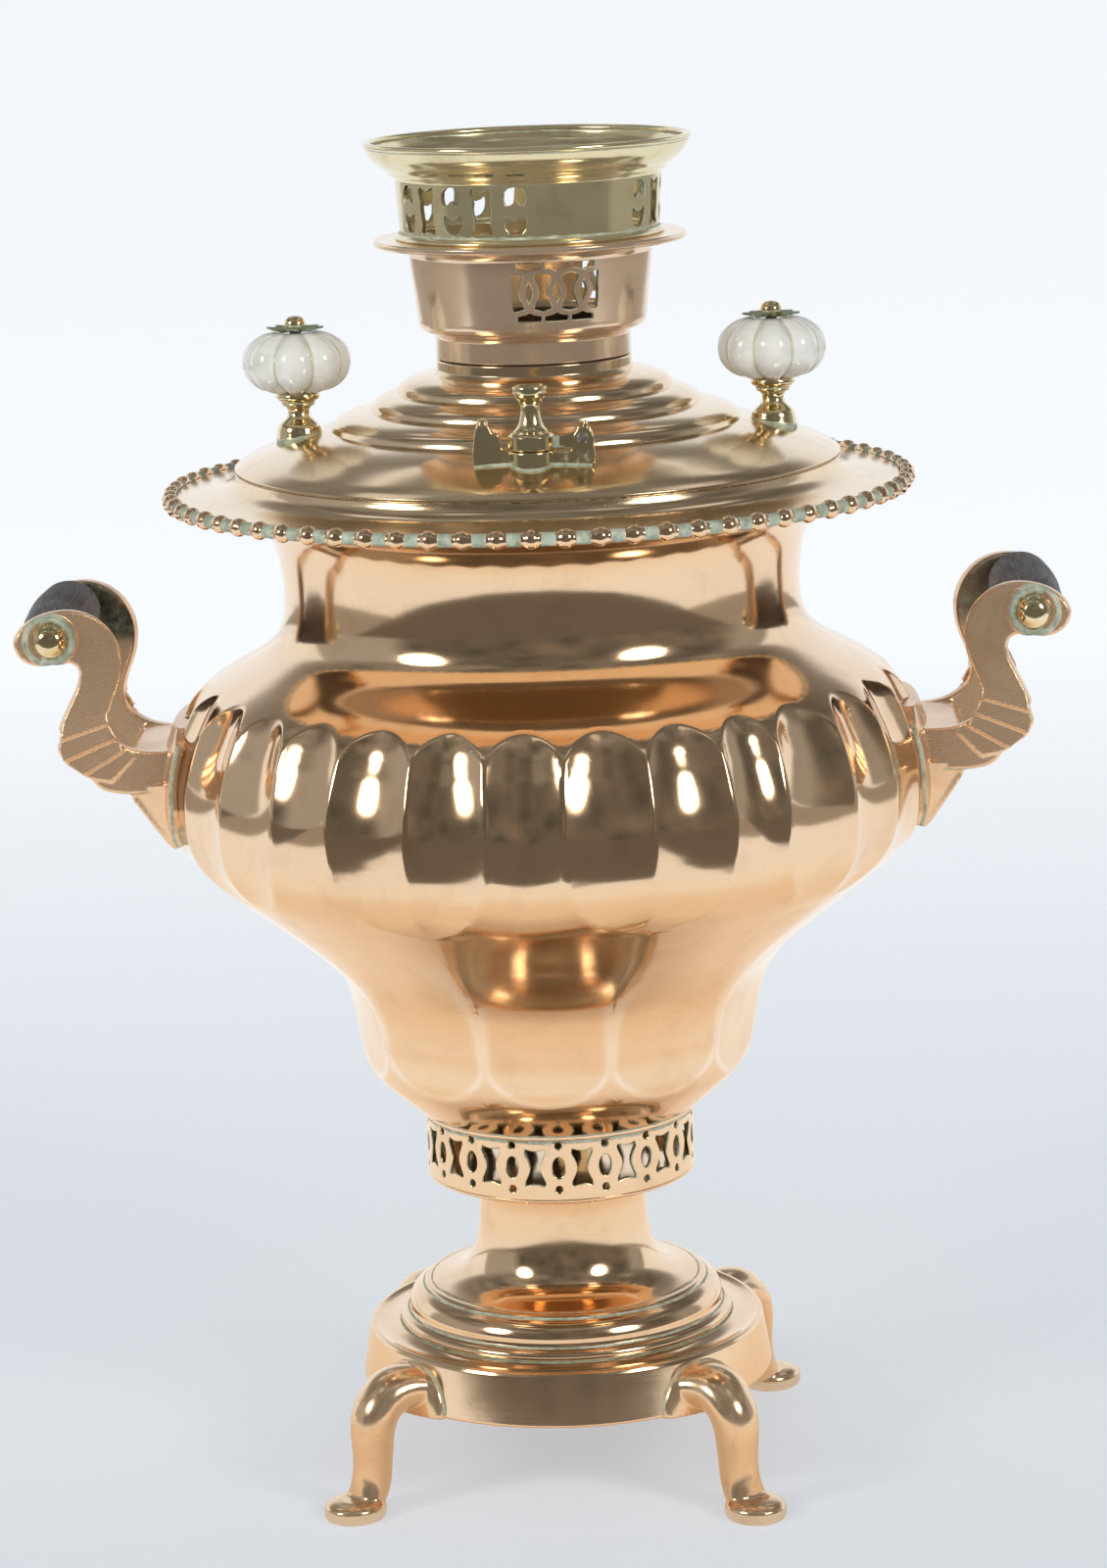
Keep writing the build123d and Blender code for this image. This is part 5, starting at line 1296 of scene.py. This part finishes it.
def foot_attr(co, nn):
    r_ = np.hypot(co[:, 0], co[:, 1])
    gap_ = r_ - band_r(co[:, 2])
    v_ = np.where((co[:, 2] > 33.5), np.exp(-(np.maximum(gap_, 0) / 1.5) ** 2), 0.0)
    seam_ = 0.35 * np.exp(-((np.hypot(co[:, 0] - 93, co[:, 1]) - 9) / 2.0) ** 2) * np.exp(-((co[:, 2] - 7.0) / 1.2) ** 2)
    return {"verd": np.maximum(v_, seam_)}


foot_mesh = fuse("foot_cast", shapes, 0.5, 6, (TOMBAC_FEET,), foot_attr, foot_fit)
FOOT_ANGLE = {"foot_front_left": 131.0, "foot_front_right": 41.0, "foot_back_left": 221.0, "foot_back_right": 311.0}
base_me = foot_mesh.data
for name_, a_ in FOOT_ANGLE.items():
    me_ = base_me.copy()
    me_.name = name_ + "_cast"
    me_.transform(Matrix.Rotation(math.radians(a_), 4, "Z"))
    ob = bpy.data.objects.new(name_ + "_cast", me_)
    bpy.context.scene.collection.objects.link(ob)
    put(ob, "root", [name_])
bpy.data.objects.remove(foot_mesh)
bpy.data.meshes.remove(base_me)

# ---- carrying handles -----------------------------------------------------------------------
GX, GZ = 163.4, 300.0
T15 = math.tan(math.radians(15.0))
S15, C15 = math.sin(math.radians(15.0)), math.cos(math.radians(15.0))
arm = joined(
    cubic([(118.0, 259.0), (127.4, 259.2), (136.9, 260.3), (141.9, 262.7), (144.7, 265.6), (145.9, 270.3), (144.9, 275.6),
           (141.6, 284.6), (140.8, 289.1), (141.0, 295.3), (143.6, 301.6), (148.5, 306.5), (156.3, 309.3), (164.7, 308.6),
           (171.4, 305.2), (174.9, 299.6), (173.2, 294.3), (168.9, 291.7), (163.9, 291.4), (158.9, 291.9), (155.6, 290.6),
           (154.2, 287.0), (155.5, 282.5), (158.4, 276.6), (160.9, 271.4), (161.6, 268.6), (160.9, 266.4)], 1.0),
    cubic([(160.9, 266.4), (162.1, 264.0), (162.3, 261.2), (161.0, 258.9)], 0.8),
    cubic([(161.0, 258.9), (159.9, 256.9), (157.6, 255.7), (156.4, 254.9)], 0.8),
    cubic([(156.4, 254.9), (155.4, 253.4), (153.4, 252.4), (152.2, 251.4)], 0.8),
    cubic([(152.2, 251.4), (150.0, 248.6), (144.6, 246.2), (138.8, 245.4), (128.0, 245.8), (118.0, 247.0)], 1.0))
arm = thinned(arm, 0.3)


def arm_place(side):
    def place(q, t):
        x = q[:, 0]
        y = 23.0 + (x - 118.0) * T15
        return np.stack([x + t * S15, side * (y - t * C15), q[:, 1]], 1)
    return place


bands = [((146.4, 274.6), (160.6, 271.0), (145.9, 270.3), (162.2, 265.9)),
         ((145.6, 269.4), (162.4, 264.4), (143.6, 265.2), (161.4, 258.6)),
         ((143.0, 264.2), (160.2, 257.4), (141.6, 260.8), (155.0, 253.4)),
         ((140.8, 260.2), (154.2, 252.6), (138.0, 258.6), (146.0, 250.6))]
shapes = []
for side in (-1, 1):
    v, f = plate(arm, arm_place(side), 5.0, 0.75)
    shapes.append((v, f if side > 0 else [q[::-1] for q in f]))
    for bi, (a0, a1, b0, b1) in enumerate(bands):
        place = arm_place(side)
        q = np.array([a0, a1, b1, b0], float)
        low = place(q, 1.5)
        high = place(q, 0.0)
        n_ = np.array([-S15, side * C15, 0])
        hgt = (0.05, 0.05, 1.25, 1.25) if bi < 3 else (0.1, 0.1, 0.5, 0.3)
        high = high + np.array(hgt)[:, None] * n_
        v = np.vstack([low, high])
        shapes.append((v, [[3, 2, 1, 0], [4, 5, 6, 7], [0, 1, 5, 4], [1, 2, 6, 5], [2, 3, 7, 6], [3, 0, 4, 7]]))
    a_ = np.linspace(0, 2 * math.pi, 56, endpoint=False)
    rings_ = [np.stack([GX + rr_ * np.cos(a_), np.full(56, side * yy_), GZ + rr_ * np.sin(a_)], 1)
              for rr_, yy_ in ((7.6, 29.0), (8.3, 29.5), (8.4, 30.2), (8.4, 34.4), (8.2, 34.8), (7.8, 35.0))]
    shapes.append(stack(rings_))
# web between the arms and the apron under it
web = [(112.0, 247.2), (130.0, 246.6), (140.0, 246.6), (141.6, 248.4), (141.6, 256.4), (139.6, 259.0), (112.0, 259.4)]
web = soften(np.array(web), 1.4, True, 15)


def across(half_at):
    def place(q, t):
        k_ = t * 2 - 1
        return np.stack([q[:, 0], k_ * np.array([half_at(x, z) for x, z in q]), q[:, 1]], 1)
    return place


v, f = stack([across(lambda x, z: 22.0 + (x - 118) * T15 * 0.9)(web, t) for t in (0.0, 0.5, 1.0)])
shapes.append((v, [q[::-1] for q in f]) if area(web) > 0 else (v, f))
apron = [(116.0, 249.0), (139.6, 248.0), (140.2, 245.2), (139.2, 242.6), (134.6, 235.4), (129.4, 227.4), (127.0, 224.8), (116.0, 228.0)]
apron = soften(np.array(apron)[::-1], 1.2, True, 15)
v, f = stack([across(lambda x, z: 27.6 - 5.0 * np.clip((246 - z) / 20, 0, 1) ** 1.5)(apron, t) for t in (0.0, 0.03, 0.5, 0.97, 1.0)])
shapes.append((v, [q[::-1] for q in f]) if area(apron) > 0 else (v, f))
# flange lying on the belly
crest_r = lambda z: np.interp(z, crest[:, 1][:900], crest[:, 0][:900])
zz_ = np.linspace(225.6, 266.5, 36)
phi_ = np.linspace(-1, 1, 41)
loops_ = []
for z_ in zz_:
    half_ = 13.6 * (1 - 0.30 * ramp01(z_, 240, 225) - 0.22 * ramp01(z_, 258, 267) ** 2)
    ph = 90.0 + phi_ * half_
    r_out = crest_r(z_) + 2.6 - 0.9 * np.abs(phi_) ** 8
    r_in = tank_radius(ph, np.full(41, z_)) - 0.8
    pr = np.radians(ph)
    loops_.append(np.vstack([np.stack([r_out * np.sin(pr), -r_out * np.cos(pr), np.full(41, z_)], 1),
                             np.stack([r_in * np.sin(pr), -r_in * np.cos(pr), np.full(41, z_)], 1)[::-1]]))
shapes.append(stack(loops_))


def bracket_attr(co, nn):
    ax, y, z = np.abs(co[:, 0]), co[:, 1], co[:, 2]
    rad = np.hypot(ax - GX, z - GZ)
    face = ramp01(np.abs(y), 33.5, 34.6)
    ring_ = np.exp(-((rad - 8.2) / 1.25) ** 2) * face
    foot_ = np.exp(-((np.hypot(ax, y) - crest_r(z) - 1.0) / 1.1) ** 2) * (z < 262) * (z > 224) * 0.85
    under_ = np.exp(-((z - 245.6) / 1.0) ** 2) * (ax > 133) * (ax < 143) * 0.7
    inner_ = ramp01(-(nn[:, 1] * np.sign(y)), 0.4, 0.8) * ramp01(z, 284, 292)
    return {"verd": np.clip(np.maximum(np.maximum(ring_, foot_), under_), 0, 1), "patina": inner_}


master = fuse("bracket_right", shapes, 0.5, 3, (TOMBAC_CAST,), bracket_attr)
for side, s_ in (("right", 1), ("left", -1)):
    me_ = master.data.copy()
    me_.name = f"handle_bracket_{side}_cast"
    if s_ < 0:
        me_.transform(Matrix.Scale(-1, 4, (1, 0, 0)))
        me_.flip_normals()
    ob = bpy.data.objects.new(me_.name, me_)
    bpy.context.scene.collection.objects.link(ob)
    put(ob, "root", [f"handle_bracket_{side}"])
    # turned grip
    gy = np.arange(-26.6, 26.61, 0.125)
    prof = cubic([(8.9, -26.6), (10.3, -24.0), (11.0, -18.0), (11.45, -8.0), (11.6, 0.0), (11.45, 8.0), (11.0, 18.0),
                  (10.3, 24.0), (8.9, 26.6)], 0.125)
    rb_ = np.interp(gy, prof[:, 1], prof[:, 0])
    rib = 0.16 * (1 - np.cos(2 * math.pi * gy / 1.55)) * (np.abs(gy) < 20.9)
    rib = rib + 0.55 * np.exp(-((np.abs(gy) - 22.4) / 0.45) ** 2) + 0.30 * np.exp(-((np.abs(gy) - 10.1) / 0.5) ** 2)
    gp = [(r_ - d_, y_) for r_, d_, y_ in zip(rb_, rib, gy)]
    gp = [(2.6, -26.6), (8.3, -26.6)] + gp + [(8.3, 26.6), (2.6, 26.6)]
    ob = turned(f"handle_grip_{side}_turned", gp, 120, 0.3, (WOOD,), cavity=False,
                frame_matrix=moved(s_ * GX, 0, GZ, "Y"), least=60)
    put(ob, f"grip_{side}", [f"handle_grip_{side}"])
    for end, axis_ in (("tap_side", "Y"), ("vent_side", "-Y")):
        m = moved(s_ * GX, 0, GZ, axis_)
        ob = turned(f"handle_washer_{side}_{end}", [(2.5, 35.0), (7.7, 35.0), (7.7, 36.0), (2.5, 36.0)], 96, 0.3, (BRASS,),
                    frame_matrix=m, marks=[(7.7, 35.6, 1.6, 1.0), (6.0, 36.0, 1.0, 0.55)])
        put(ob, "root", [f"handle_washers_{side}"])
        nutp = joined([(0, 36.0), (5.3, 36.0)], cubic([(5.3, 36.0), (5.6, 36.6), (5.5, 37.8), (4.4, 39.7), (2.4, 40.9), (0.0, 41.2)], 0.35))
        ob = turned(f"handle_nut_{side}_{end}", nutp, 72, 0.2, (BRASS,), closed=False, frame_matrix=m,
                    marks=[(5.5, 36.1, 0.55, 1.0)])
        put(ob, "root", [f"handle_nuts_{side}"])
    dress(f"handle_rod_{side}", STEEL)
me_ = master.data
bpy.data.objects.remove(master)
bpy.data.meshes.remove(me_)

# ---- steam vent -------------------------------------------------------------------------------
VY, PIN_X, PIN_Z = -79.8, 16.5, 368.6


def lid_top(x, y):
    return np.interp(np.hypot(x, y), [r for r, z in dish], [z for r, z in dish])


def slab(outline, y0, y1, bevel=0.35, r=0.5):
    q = soften(np.array(outline, float), r, True, 15)
    if area(q) < 0:
        q = q[::-1]
    v, f = plate(q, lambda p, t: np.stack([p[:, 0], np.full(len(p), y0 + t), p[:, 1]], 1), y1 - y0, bevel)
    return v + np.array([0, VY, 0]), [k[::-1] for k in f]


a48 = np.linspace(0, 2 * math.pi, 72, endpoint=False)


def drum(cx, cy, rings_):
    return stack([np.stack([cx + r_ * np.cos(a48), cy + r_ * np.sin(a48), np.full(72, z_)], 1) for r_, z_ in rings_])


shapes = [
    drum(0, VY, [(7.0, 358.0), (7.35, 358.4), (7.35, 364.3), (7.0, 364.75)]),
    slab([(-12.8, 358.0), (-18.6, 359.4), (-18.9, 364.0), (-18.2, 370.0), (-17.4, 373.2), (-13.6, 373.2), (-12.4, 370.6),
          (-10.4, 370.2), (-9.4, 365.8), (-7.6, 364.4), (-4.0, 364.0), (-4.0, 358.0)], -2.3, 2.3, 0.5, 0.7),
    drum(-15.4, VY, [(0.8, 372.0), (1.7, 372.8), (1.8, 374.0), (1.2, 375.0), (0.5, 375.3)]),
    slab([(4.0, 358.0), (4.0, 364.2), (12.6, 364.3), (13.2, 366.2), (13.6, 369.4), (15.2, 371.8), (17.0, 372.4), (19.0, 371.4),
          (20.2, 368.8), (20.0, 365.6), (20.6, 362.4), (19.2, 359.0), (14.0, 358.0)], -3.3, -1.65, 0.3, 0.7),
    slab([(4.0, 358.0), (4.0, 364.2), (12.6, 364.3), (13.2, 366.2), (13.6, 369.4), (15.2, 371.8), (17.0, 372.4), (19.0, 371.4),
          (20.2, 368.8), (20.0, 365.6), (20.6, 362.4), (19.2, 359.0), (14.0, 358.0)], 1.65, 3.3, 0.3, 0.7),
    slab([(3.0, 358.0), (3.0, 363.9), (12.6, 363.9), (18.8, 363.0), (19.6, 361.4), (18.6, 358.8), (14.0, 358.0)], -3.0, 3.0, 0.4, 0.5),
    drum(17.6, VY - 2.7, [(0.3, 371.6), (0.8, 372.0), (0.9, 373.0), (0.7, 373.8), (0.3, 374.1)]),
]


def seat_attr(co, nn):
    low = lid_top(co[:, 0], co[:, 1])
    g_ = np.exp(-((co[:, 2] - low - 0.3) / 0.95) ** 2)
    h_ = 0.42 * np.exp(-((co[:, 2] - 364.3) / 0.4) ** 2) * (np.hypot(co[:, 0], co[:, 1] - VY) > 7.0)
    k_ = 0.5 * (co[:, 0] > 8) * (co[:, 2] < 364.5) + 0.5 * (co[:, 0] > -10.5) * (co[:, 0] < -6.5) * (co[:, 2] < 365)
    return {"verd": np.clip(np.maximum(np.maximum(g_, h_), k_), 0, 1)}


ob = fuse("vent_seat_cast", shapes, 0.26, 3, (BRASS,), seat_attr)
put(ob, "lid", ["vent_seat"])
cap = joined([(0.0, 365.0), (7.0, 365.0), (7.35, 365.3), (7.35, 369.3)], cubic([(7.35, 369.3), (6.9, 370.0), (5.6, 371.0), (4.2, 372.9), (3.4, 375.6),
             (3.15, 378.2), (3.6, 380.3), (4.7, 381.8), (5.4, 383.2), (5.55, 384.4)], 0.3),
             cubic([(5.55, 384.4), (5.4, 385.2), (4.7, 385.5), (4.0, 385.1), (3.2, 384.2), (1.6, 383.6), (0.0, 383.4)], 0.25))
ob = turned("vent_cap_turned", cap, 128, 0.25, (BRASS,), closed=False, frame_matrix=moved(0, VY, 0),
            marks=[(7.35, 365.1, 0.5, 0.6)])
put(ob, "vent_cap", ["vent_cap"])
arm_ = [(6.4, 365.2), (6.4, 369.2), (9.5, 369.0), (12.6, 370.0), (14.6, 371.0), (16.6, 371.2), (18.5, 370.3), (19.0, 368.6),
        (18.4, 366.6), (16.6, 365.7), (12.0, 365.4)]
shapes = [slab(arm_, -1.35, 1.35, 0.3, 0.6)]
ob = fuse("vent_cap_arm", shapes, 0.24, 3, (BRASS,),
          lambda co, nn: {"verd": np.clip(0.9 * np.exp(-((co[:, 0] - 8.0) / 1.6) ** 2) + 0.45 * (np.abs(co[:, 2] - 365.6) < 0.5), 0, 1)})
put(ob, "vent_cap", ["vent_cap"])
pin_path = joined([(0, -4.3), (1.5, -4.3), (1.8, -4.0), (1.8, -3.5), (1.1, -3.4), (1.1, 3.4), (1.8, 3.5), (1.8, 4.0), (1.5, 4.3), (0, 4.3)])
ob = turned("vent_pin_turned", pin_path, 40, 0.2, (STEEL,), closed=False, frame_matrix=moved(PIN_X, VY, PIN_Z, "Y"), cavity=False)
put(ob, "lid", ["vent_pin"])

# ---- tap, on the side away from the vent ---------------------------------------------------------
for n_ in ("tap_body", "tap_flange", "tap_key", "tap_nut"):
    dress(n_, BRASS)


# ======================================================================================
# camera, floor, light
# ======================================================================================
scene = bpy.context.scene
el, az, dist, roll = math.radians(11.75), math.radians(1.3), 1.608, math.radians(-1.97)
target = Vector((0, 0, 0.2389))
cam = bpy.data.cameras.new("camera")
cam.lens, cam.sensor_width, cam.sensor_fit = 108.0, 36.0, "AUTO"
cam.shift_x = 0.0031
cam.clip_start, cam.clip_end = 0.05, 60.0
camera = bpy.data.objects.new("camera", cam)
scene.collection.objects.link(camera)
back = Vector((math.sin(az) * math.cos(el), -math.cos(az) * math.cos(el), math.sin(el)))
camera.location = target + back * dist
camera.rotation_mode = "QUATERNION"
camera.rotation_quaternion = (-back).to_track_quat("-Z", "Y") @ Matrix.Rotation(roll, 4, "Z").to_quaternion()
scene.camera = camera


def emitter(name, color, strength):
    m = bpy.data.materials.new(name)
    m.use_nodes = True
    nt = m.node_tree
    nt.nodes.clear()
    o = nt.nodes.new("ShaderNodeOutputMaterial")
    e = nt.nodes.new("ShaderNodeEmission")
    e.inputs[0].default_value = (*color, 1)
    e.inputs[1].default_value = strength
    nt.links.new(e.outputs[0], o.inputs[0])
    return m


def card(name, verts, mat, camera_ray=False, diffuse=False, shadow=False):
    me = bpy.data.meshes.new(name)
    me.from_pydata(verts, [], [tuple(range(len(verts)))])
    me.materials.append(mat)
    o = bpy.data.objects.new(name, me)
    scene.collection.objects.link(o)
    o.visible_camera, o.visible_diffuse, o.visible_shadow = camera_ray, diffuse, shadow
    o.visible_transmission = False
    return o


# floor: a pale sweep, lit by the room and by a glow of its own that is painted light, darker towards the camera side as
# painted shade
floor_mat = bpy.data.materials.new("floor")
floor_mat.use_nodes = True
nt = floor_mat.node_tree
nt.nodes.clear()
o_ = nt.nodes.new("ShaderNodeOutputMaterial")
mix = nt.nodes.new("ShaderNodeAddShader")
dif = nt.nodes.new("ShaderNodeBsdfDiffuse")
emi = nt.nodes.new("ShaderNodeEmission")
dif.inputs[0].default_value = (0.58, 0.60, 0.625, 1)
tc = nt.nodes.new("ShaderNodeTexCoord")
sx_ = nt.nodes.new("ShaderNodeSeparateXYZ")
nt.links.new(tc.outputs["Object"], sx_.inputs[0])
mr = nt.nodes.new("ShaderNodeMapRange")
mr.inputs["From Min"].default_value, mr.inputs["From Max"].default_value = -0.4, 3.6
nt.links.new(sx_.outputs[1], mr.inputs["Value"])
cr_ = nt.nodes.new("ShaderNodeValToRGB")
# the glow's colour by y: painted light, fading to a painted shade towards the front
cr_.color_ramp.elements.new(0.5)
for e_, (p_, c_) in zip(cr_.color_ramp.elements, ((0.0, (0.235, 0.28, 0.33)), (0.5, (0.72, 0.75, 0.79)), (1.0, (0.73, 0.755, 0.79)))):
    e_.position, e_.color = p_, (*c_, 1)
nt.links.new(mr.outputs[0], cr_.inputs[0])
nt.links.new(cr_.outputs[0], emi.inputs[0])
nt.links.new(dif.outputs[0], mix.inputs[0])
nt.links.new(emi.outputs[0], mix.inputs[1])
nt.links.new(mix.outputs[0], o_.inputs[0])
floor = card("floor", [(-30, -30, 0), (30, -30, 0), (30, 30, 0), (-30, 30, 0)], floor_mat, True, True, True)

# the room, by direction: azimuth 0 is -Y, the side of the camera
world = bpy.data.worlds.new("studio")
scene.world = world
world.use_nodes = True
wn = world.node_tree
wn.nodes.clear()


def wadd(kind, **kw):
    n = wn.nodes.new(kind)
    for k, v in kw.items():
        setattr(n, k, v)
    return n


def wput(v, s):
    if isinstance(v, bpy.types.NodeSocket):
        wn.links.new(v, s)
    else:
        s.default_value = v


def wmath(op, a, b=0.0, c=None):
    n = wadd("ShaderNodeMath", operation=op)
    wput(a, n.inputs[0])
    wput(b, n.inputs[1])
    if c is not None:
        wput(c, n.inputs[2])
    return n.outputs[0]


def wstep(x, a, b):
    n = wadd("ShaderNodeMapRange", interpolation_type="SMOOTHSTEP")
    wput(x, n.inputs["Value"])
    n.inputs["From Min"].default_value, n.inputs["From Max"].default_value = (a, b) if a < b else (b, a)
    n.inputs["To Min"].default_value, n.inputs["To Max"].default_value = (0, 1) if a < b else (1, 0)
    return n.outputs[0]


def wmix(f, a, b):
    n = wadd("ShaderNodeMix", data_type="RGBA")
    wput(f, n.inputs[0])
    for v, s in ((a, n.inputs[6]), (b, n.inputs[7])):
        wput(v if isinstance(v, bpy.types.NodeSocket) else (*v, 1.0), s)
    return n.outputs[2]


def wramp(f, stops):
    n = wadd("ShaderNodeValToRGB")
    while len(n.color_ramp.elements) < len(stops):
        n.color_ramp.elements.new(0.5)
    for e, (pos, col) in zip(n.color_ramp.elements, stops):
        e.position, e.color = pos, (*col, 1)
    wn.links.new(f, n.inputs[0])
    return n.outputs[0]


def wnoise(scale, detail, stretch=(1, 1, 1)):
    m = wadd("ShaderNodeMapping")
    m.inputs["Scale"].default_value = stretch
    wn.links.new(wtc, m.inputs[0])
    n = wadd("ShaderNodeTexNoise")
    n.inputs["Scale"].default_value, n.inputs["Detail"].default_value = scale, detail
    wn.links.new(m.outputs[0], n.inputs["Vector"])
    return n.outputs[0]


wtc = wadd("ShaderNodeTexCoord").outputs["Generated"]
sep = wadd("ShaderNodeSeparateXYZ")
wn.links.new(wtc, sep.inputs[0])
DX, DY, DZ = sep.outputs
EL = wmath("MULTIPLY", wmath("ARCSINE", DZ), 57.2958)
AZ = wmath("MULTIPLY", wmath("ARCTAN2", DX, wmath("MULTIPLY", DY, -1.0)), 57.2958)
AB = wmath("ABSOLUTE", AZ)
clutter = wramp(wnoise(3.2, 4.0), [(0.34, (0.085, 0.082, 0.075)), (0.48, (0.135, 0.13, 0.118)), (0.60, (0.18, 0.165, 0.145)),
                                   (0.72, (0.25, 0.21, 0.18))])
ceiling = wramp(wnoise(2.6, 3.0, (1, 1, 1.6)), [(0.36, (0.13, 0.122, 0.108)), (0.5, (0.20, 0.195, 0.18)), (0.66, (0.34, 0.335, 0.315))])
room = wmix(wstep(EL, 30, 42), clutter, ceiling)
side = wmath("MULTIPLY", wmath("MAXIMUM", wstep(AZ, -54, -72), wmath("MULTIPLY", wstep(AZ, 82, 98), 0.8)), wstep(EL, 40, 22))
room = wmix(wmath("MULTIPLY", side, 0.85), room, (0.46, 0.46, 0.455))
backdrop = wramp(wmath("MULTIPLY", EL, 0.02), [(0.0, (1.0, 1.03, 1.06)), (0.45, (0.93, 0.98, 1.04)), (0.8, (0.70, 0.74, 0.80))])
room = wmix(wmath("MULTIPLY", wstep(AB, 113, 119), wstep(EL, 29, 23)), room, backdrop)
for a0, e0, wa, we, col, k in ((137, 57, 12, 7, (1.0, 1.0, 1.0), 0.8), (-137, 57, 12, 7, (1.0, 1.0, 1.0), 0.8),
                               (-46, 62, 15, 4, (1.0, 0.95, 0.84), 0.85), (40, 60, 13, 4, (1.0, 0.95, 0.84), 0.7),
                               (166, 41, 7, 3, (1.1, 1.1, 1.1), 1.0), (-166, 41, 7, 3, (1.1, 1.1, 1.1), 1.0)):
    da = wmath("ABSOLUTE", wmath("SUBTRACT", AZ, a0))
    de = wmath("ABSOLUTE", wmath("SUBTRACT", EL, e0))
    f = wmath("MULTIPLY", wstep(da, wa, wa - 4), wstep(de, we, we - 2))
    room = wmix(wmath("MULTIPLY", f, k), room, col)
wo = wadd("ShaderNodeOutputWorld")
wb = wadd("ShaderNodeBackground")
wn.links.new(room, wb.inputs[0])
wb.inputs[1].default_value = 1.0
wn.links.new(wb.outputs[0], wo.inputs[0])

# what reflections show of the floor: the white sheet with a painted warm bounce light near the metal and a painted
# contact shade right under it, and the dark floor round it
deep = emitter("dark_floor", (0.15, 0.138, 0.12), 1.0)
deep_side = emitter("brown_floor", (0.36, 0.33, 0.30), 1.0)
card("room_floor_front", [(-29, -29, 0.004), (29, -29, 0.004), (29, -0.58, 0.004), (-29, -0.58, 0.004)], deep)
card("room_floor_left", [(-29, -0.58, 0.004), (-1.3, -0.58, 0.004), (-1.3, 3.0, 0.004), (-29, 3.0, 0.004)], deep_side)
card("room_floor_right", [(1.3, -0.58, 0.004), (29, -0.58, 0.004), (29, 3.0, 0.004), (1.3, 3.0, 0.004)], deep_side)
paper = bpy.data.materials.new("paper")
paper.use_nodes = True
nt = paper.node_tree
nt.nodes.clear()
o_ = nt.nodes.new("ShaderNodeOutputMaterial")
emi = nt.nodes.new("ShaderNodeEmission")
tc = nt.nodes.new("ShaderNodeTexCoord")
ln = nt.nodes.new("ShaderNodeVectorMath")
ln.operation = "LENGTH"
nt.links.new(tc.outputs["Object"], ln.inputs[0])
cr_ = nt.nodes.new("ShaderNodeValToRGB")
for _ in range(3):
    cr_.color_ramp.elements.new(0.5)
# by distance from the axis: painted contact shade at the centre, painted warm bounce light round it, white beyond
for e_, (p_, c_) in zip(cr_.color_ramp.elements, ((0.08, (0.62, 0.48, 0.36)), (0.15, (0.90, 0.74, 0.58)), (0.25, (0.95, 0.82, 0.68)),
                                                 (0.38, (1.0, 0.97, 0.92)), (0.60, (0.98, 1.0, 1.02)))):
    e_.position, e_.color = p_, (*c_, 1)
nt.links.new(ln.outputs["Value"], cr_.inputs[0])
nt.links.new(cr_.outputs[0], emi.inputs[0])
nt.links.new(emi.outputs[0], o_.inputs[0])
card("room_paper", [(-1.3, -0.58, 0.004), (1.3, -0.58, 0.004), (1.3, 3.0, 0.004), (-1.3, 3.0, 0.004)], paper)
for s_, azi in ((-1, 54.0), (1, 46.0)):
    a = math.radians(azi)
    c = Vector((s_ * math.sin(a) * 1.75, -math.cos(a) * 1.75, 0.30 + 0.76))
    soft = bpy.data.materials.new("softbox")
    soft.use_nodes = True
    nt = soft.node_tree
    nt.nodes.clear()
    o_ = nt.nodes.new("ShaderNodeOutputMaterial")
    emi = nt.nodes.new("ShaderNodeEmission")
    emi.inputs[0].default_value = (1.0, 0.95, 0.87, 1)
    tc = nt.nodes.new("ShaderNodeTexCoord")
    ln = nt.nodes.new("ShaderNodeVectorMath")
    ln.operation = "DISTANCE"
    ln.inputs[1].default_value = c
    mr = nt.nodes.new("ShaderNodeMapRange")
    mr.interpolation_type = "SMOOTHSTEP"
    for k_, v_ in (("From Min", 0.17), ("From Max", 0.40), ("To Min", 10.5), ("To Max", 0.12)):
        mr.inputs[k_].default_value = v_
    nt.links.new(tc.outputs["Object"], ln.inputs[0])
    nt.links.new(ln.outputs["Value"], mr.inputs["Value"])
    nt.links.new(mr.outputs["Result"], emi.inputs[1])
    nt.links.new(emi.outputs[0], o_.inputs[0])
    out_ = (Vector((0, 0, 0.3)) - c).normalized()
    rt = Vector((0, 0, 1)).cross(out_).normalized()
    up_ = out_.cross(rt)
    w_, h_ = 0.31, 0.36
    card(f"softbox_{'left' if s_ < 0 else 'right'}", [tuple(c - rt * w_ - up_ * h_), tuple(c + rt * w_ - up_ * h_),
                                                      tuple(c + rt * w_ + up_ * h_), tuple(c - rt * w_ + up_ * h_)], soft,
         False, True, False)

# a broad fill from the front that mirrors don't show
fill = card("fill_front", [(-2.6, -3.2, 0.1), (2.6, -3.2, 0.1), (2.6, -3.2, 3.2), (-2.6, -3.2, 3.2)], emitter("fill", (0.97, 0.99, 1.0), 1.5),
            False, True, False)
fill.visible_glossy = False

scene.view_settings.view_transform = "Standard"
scene.view_settings.look = "None"
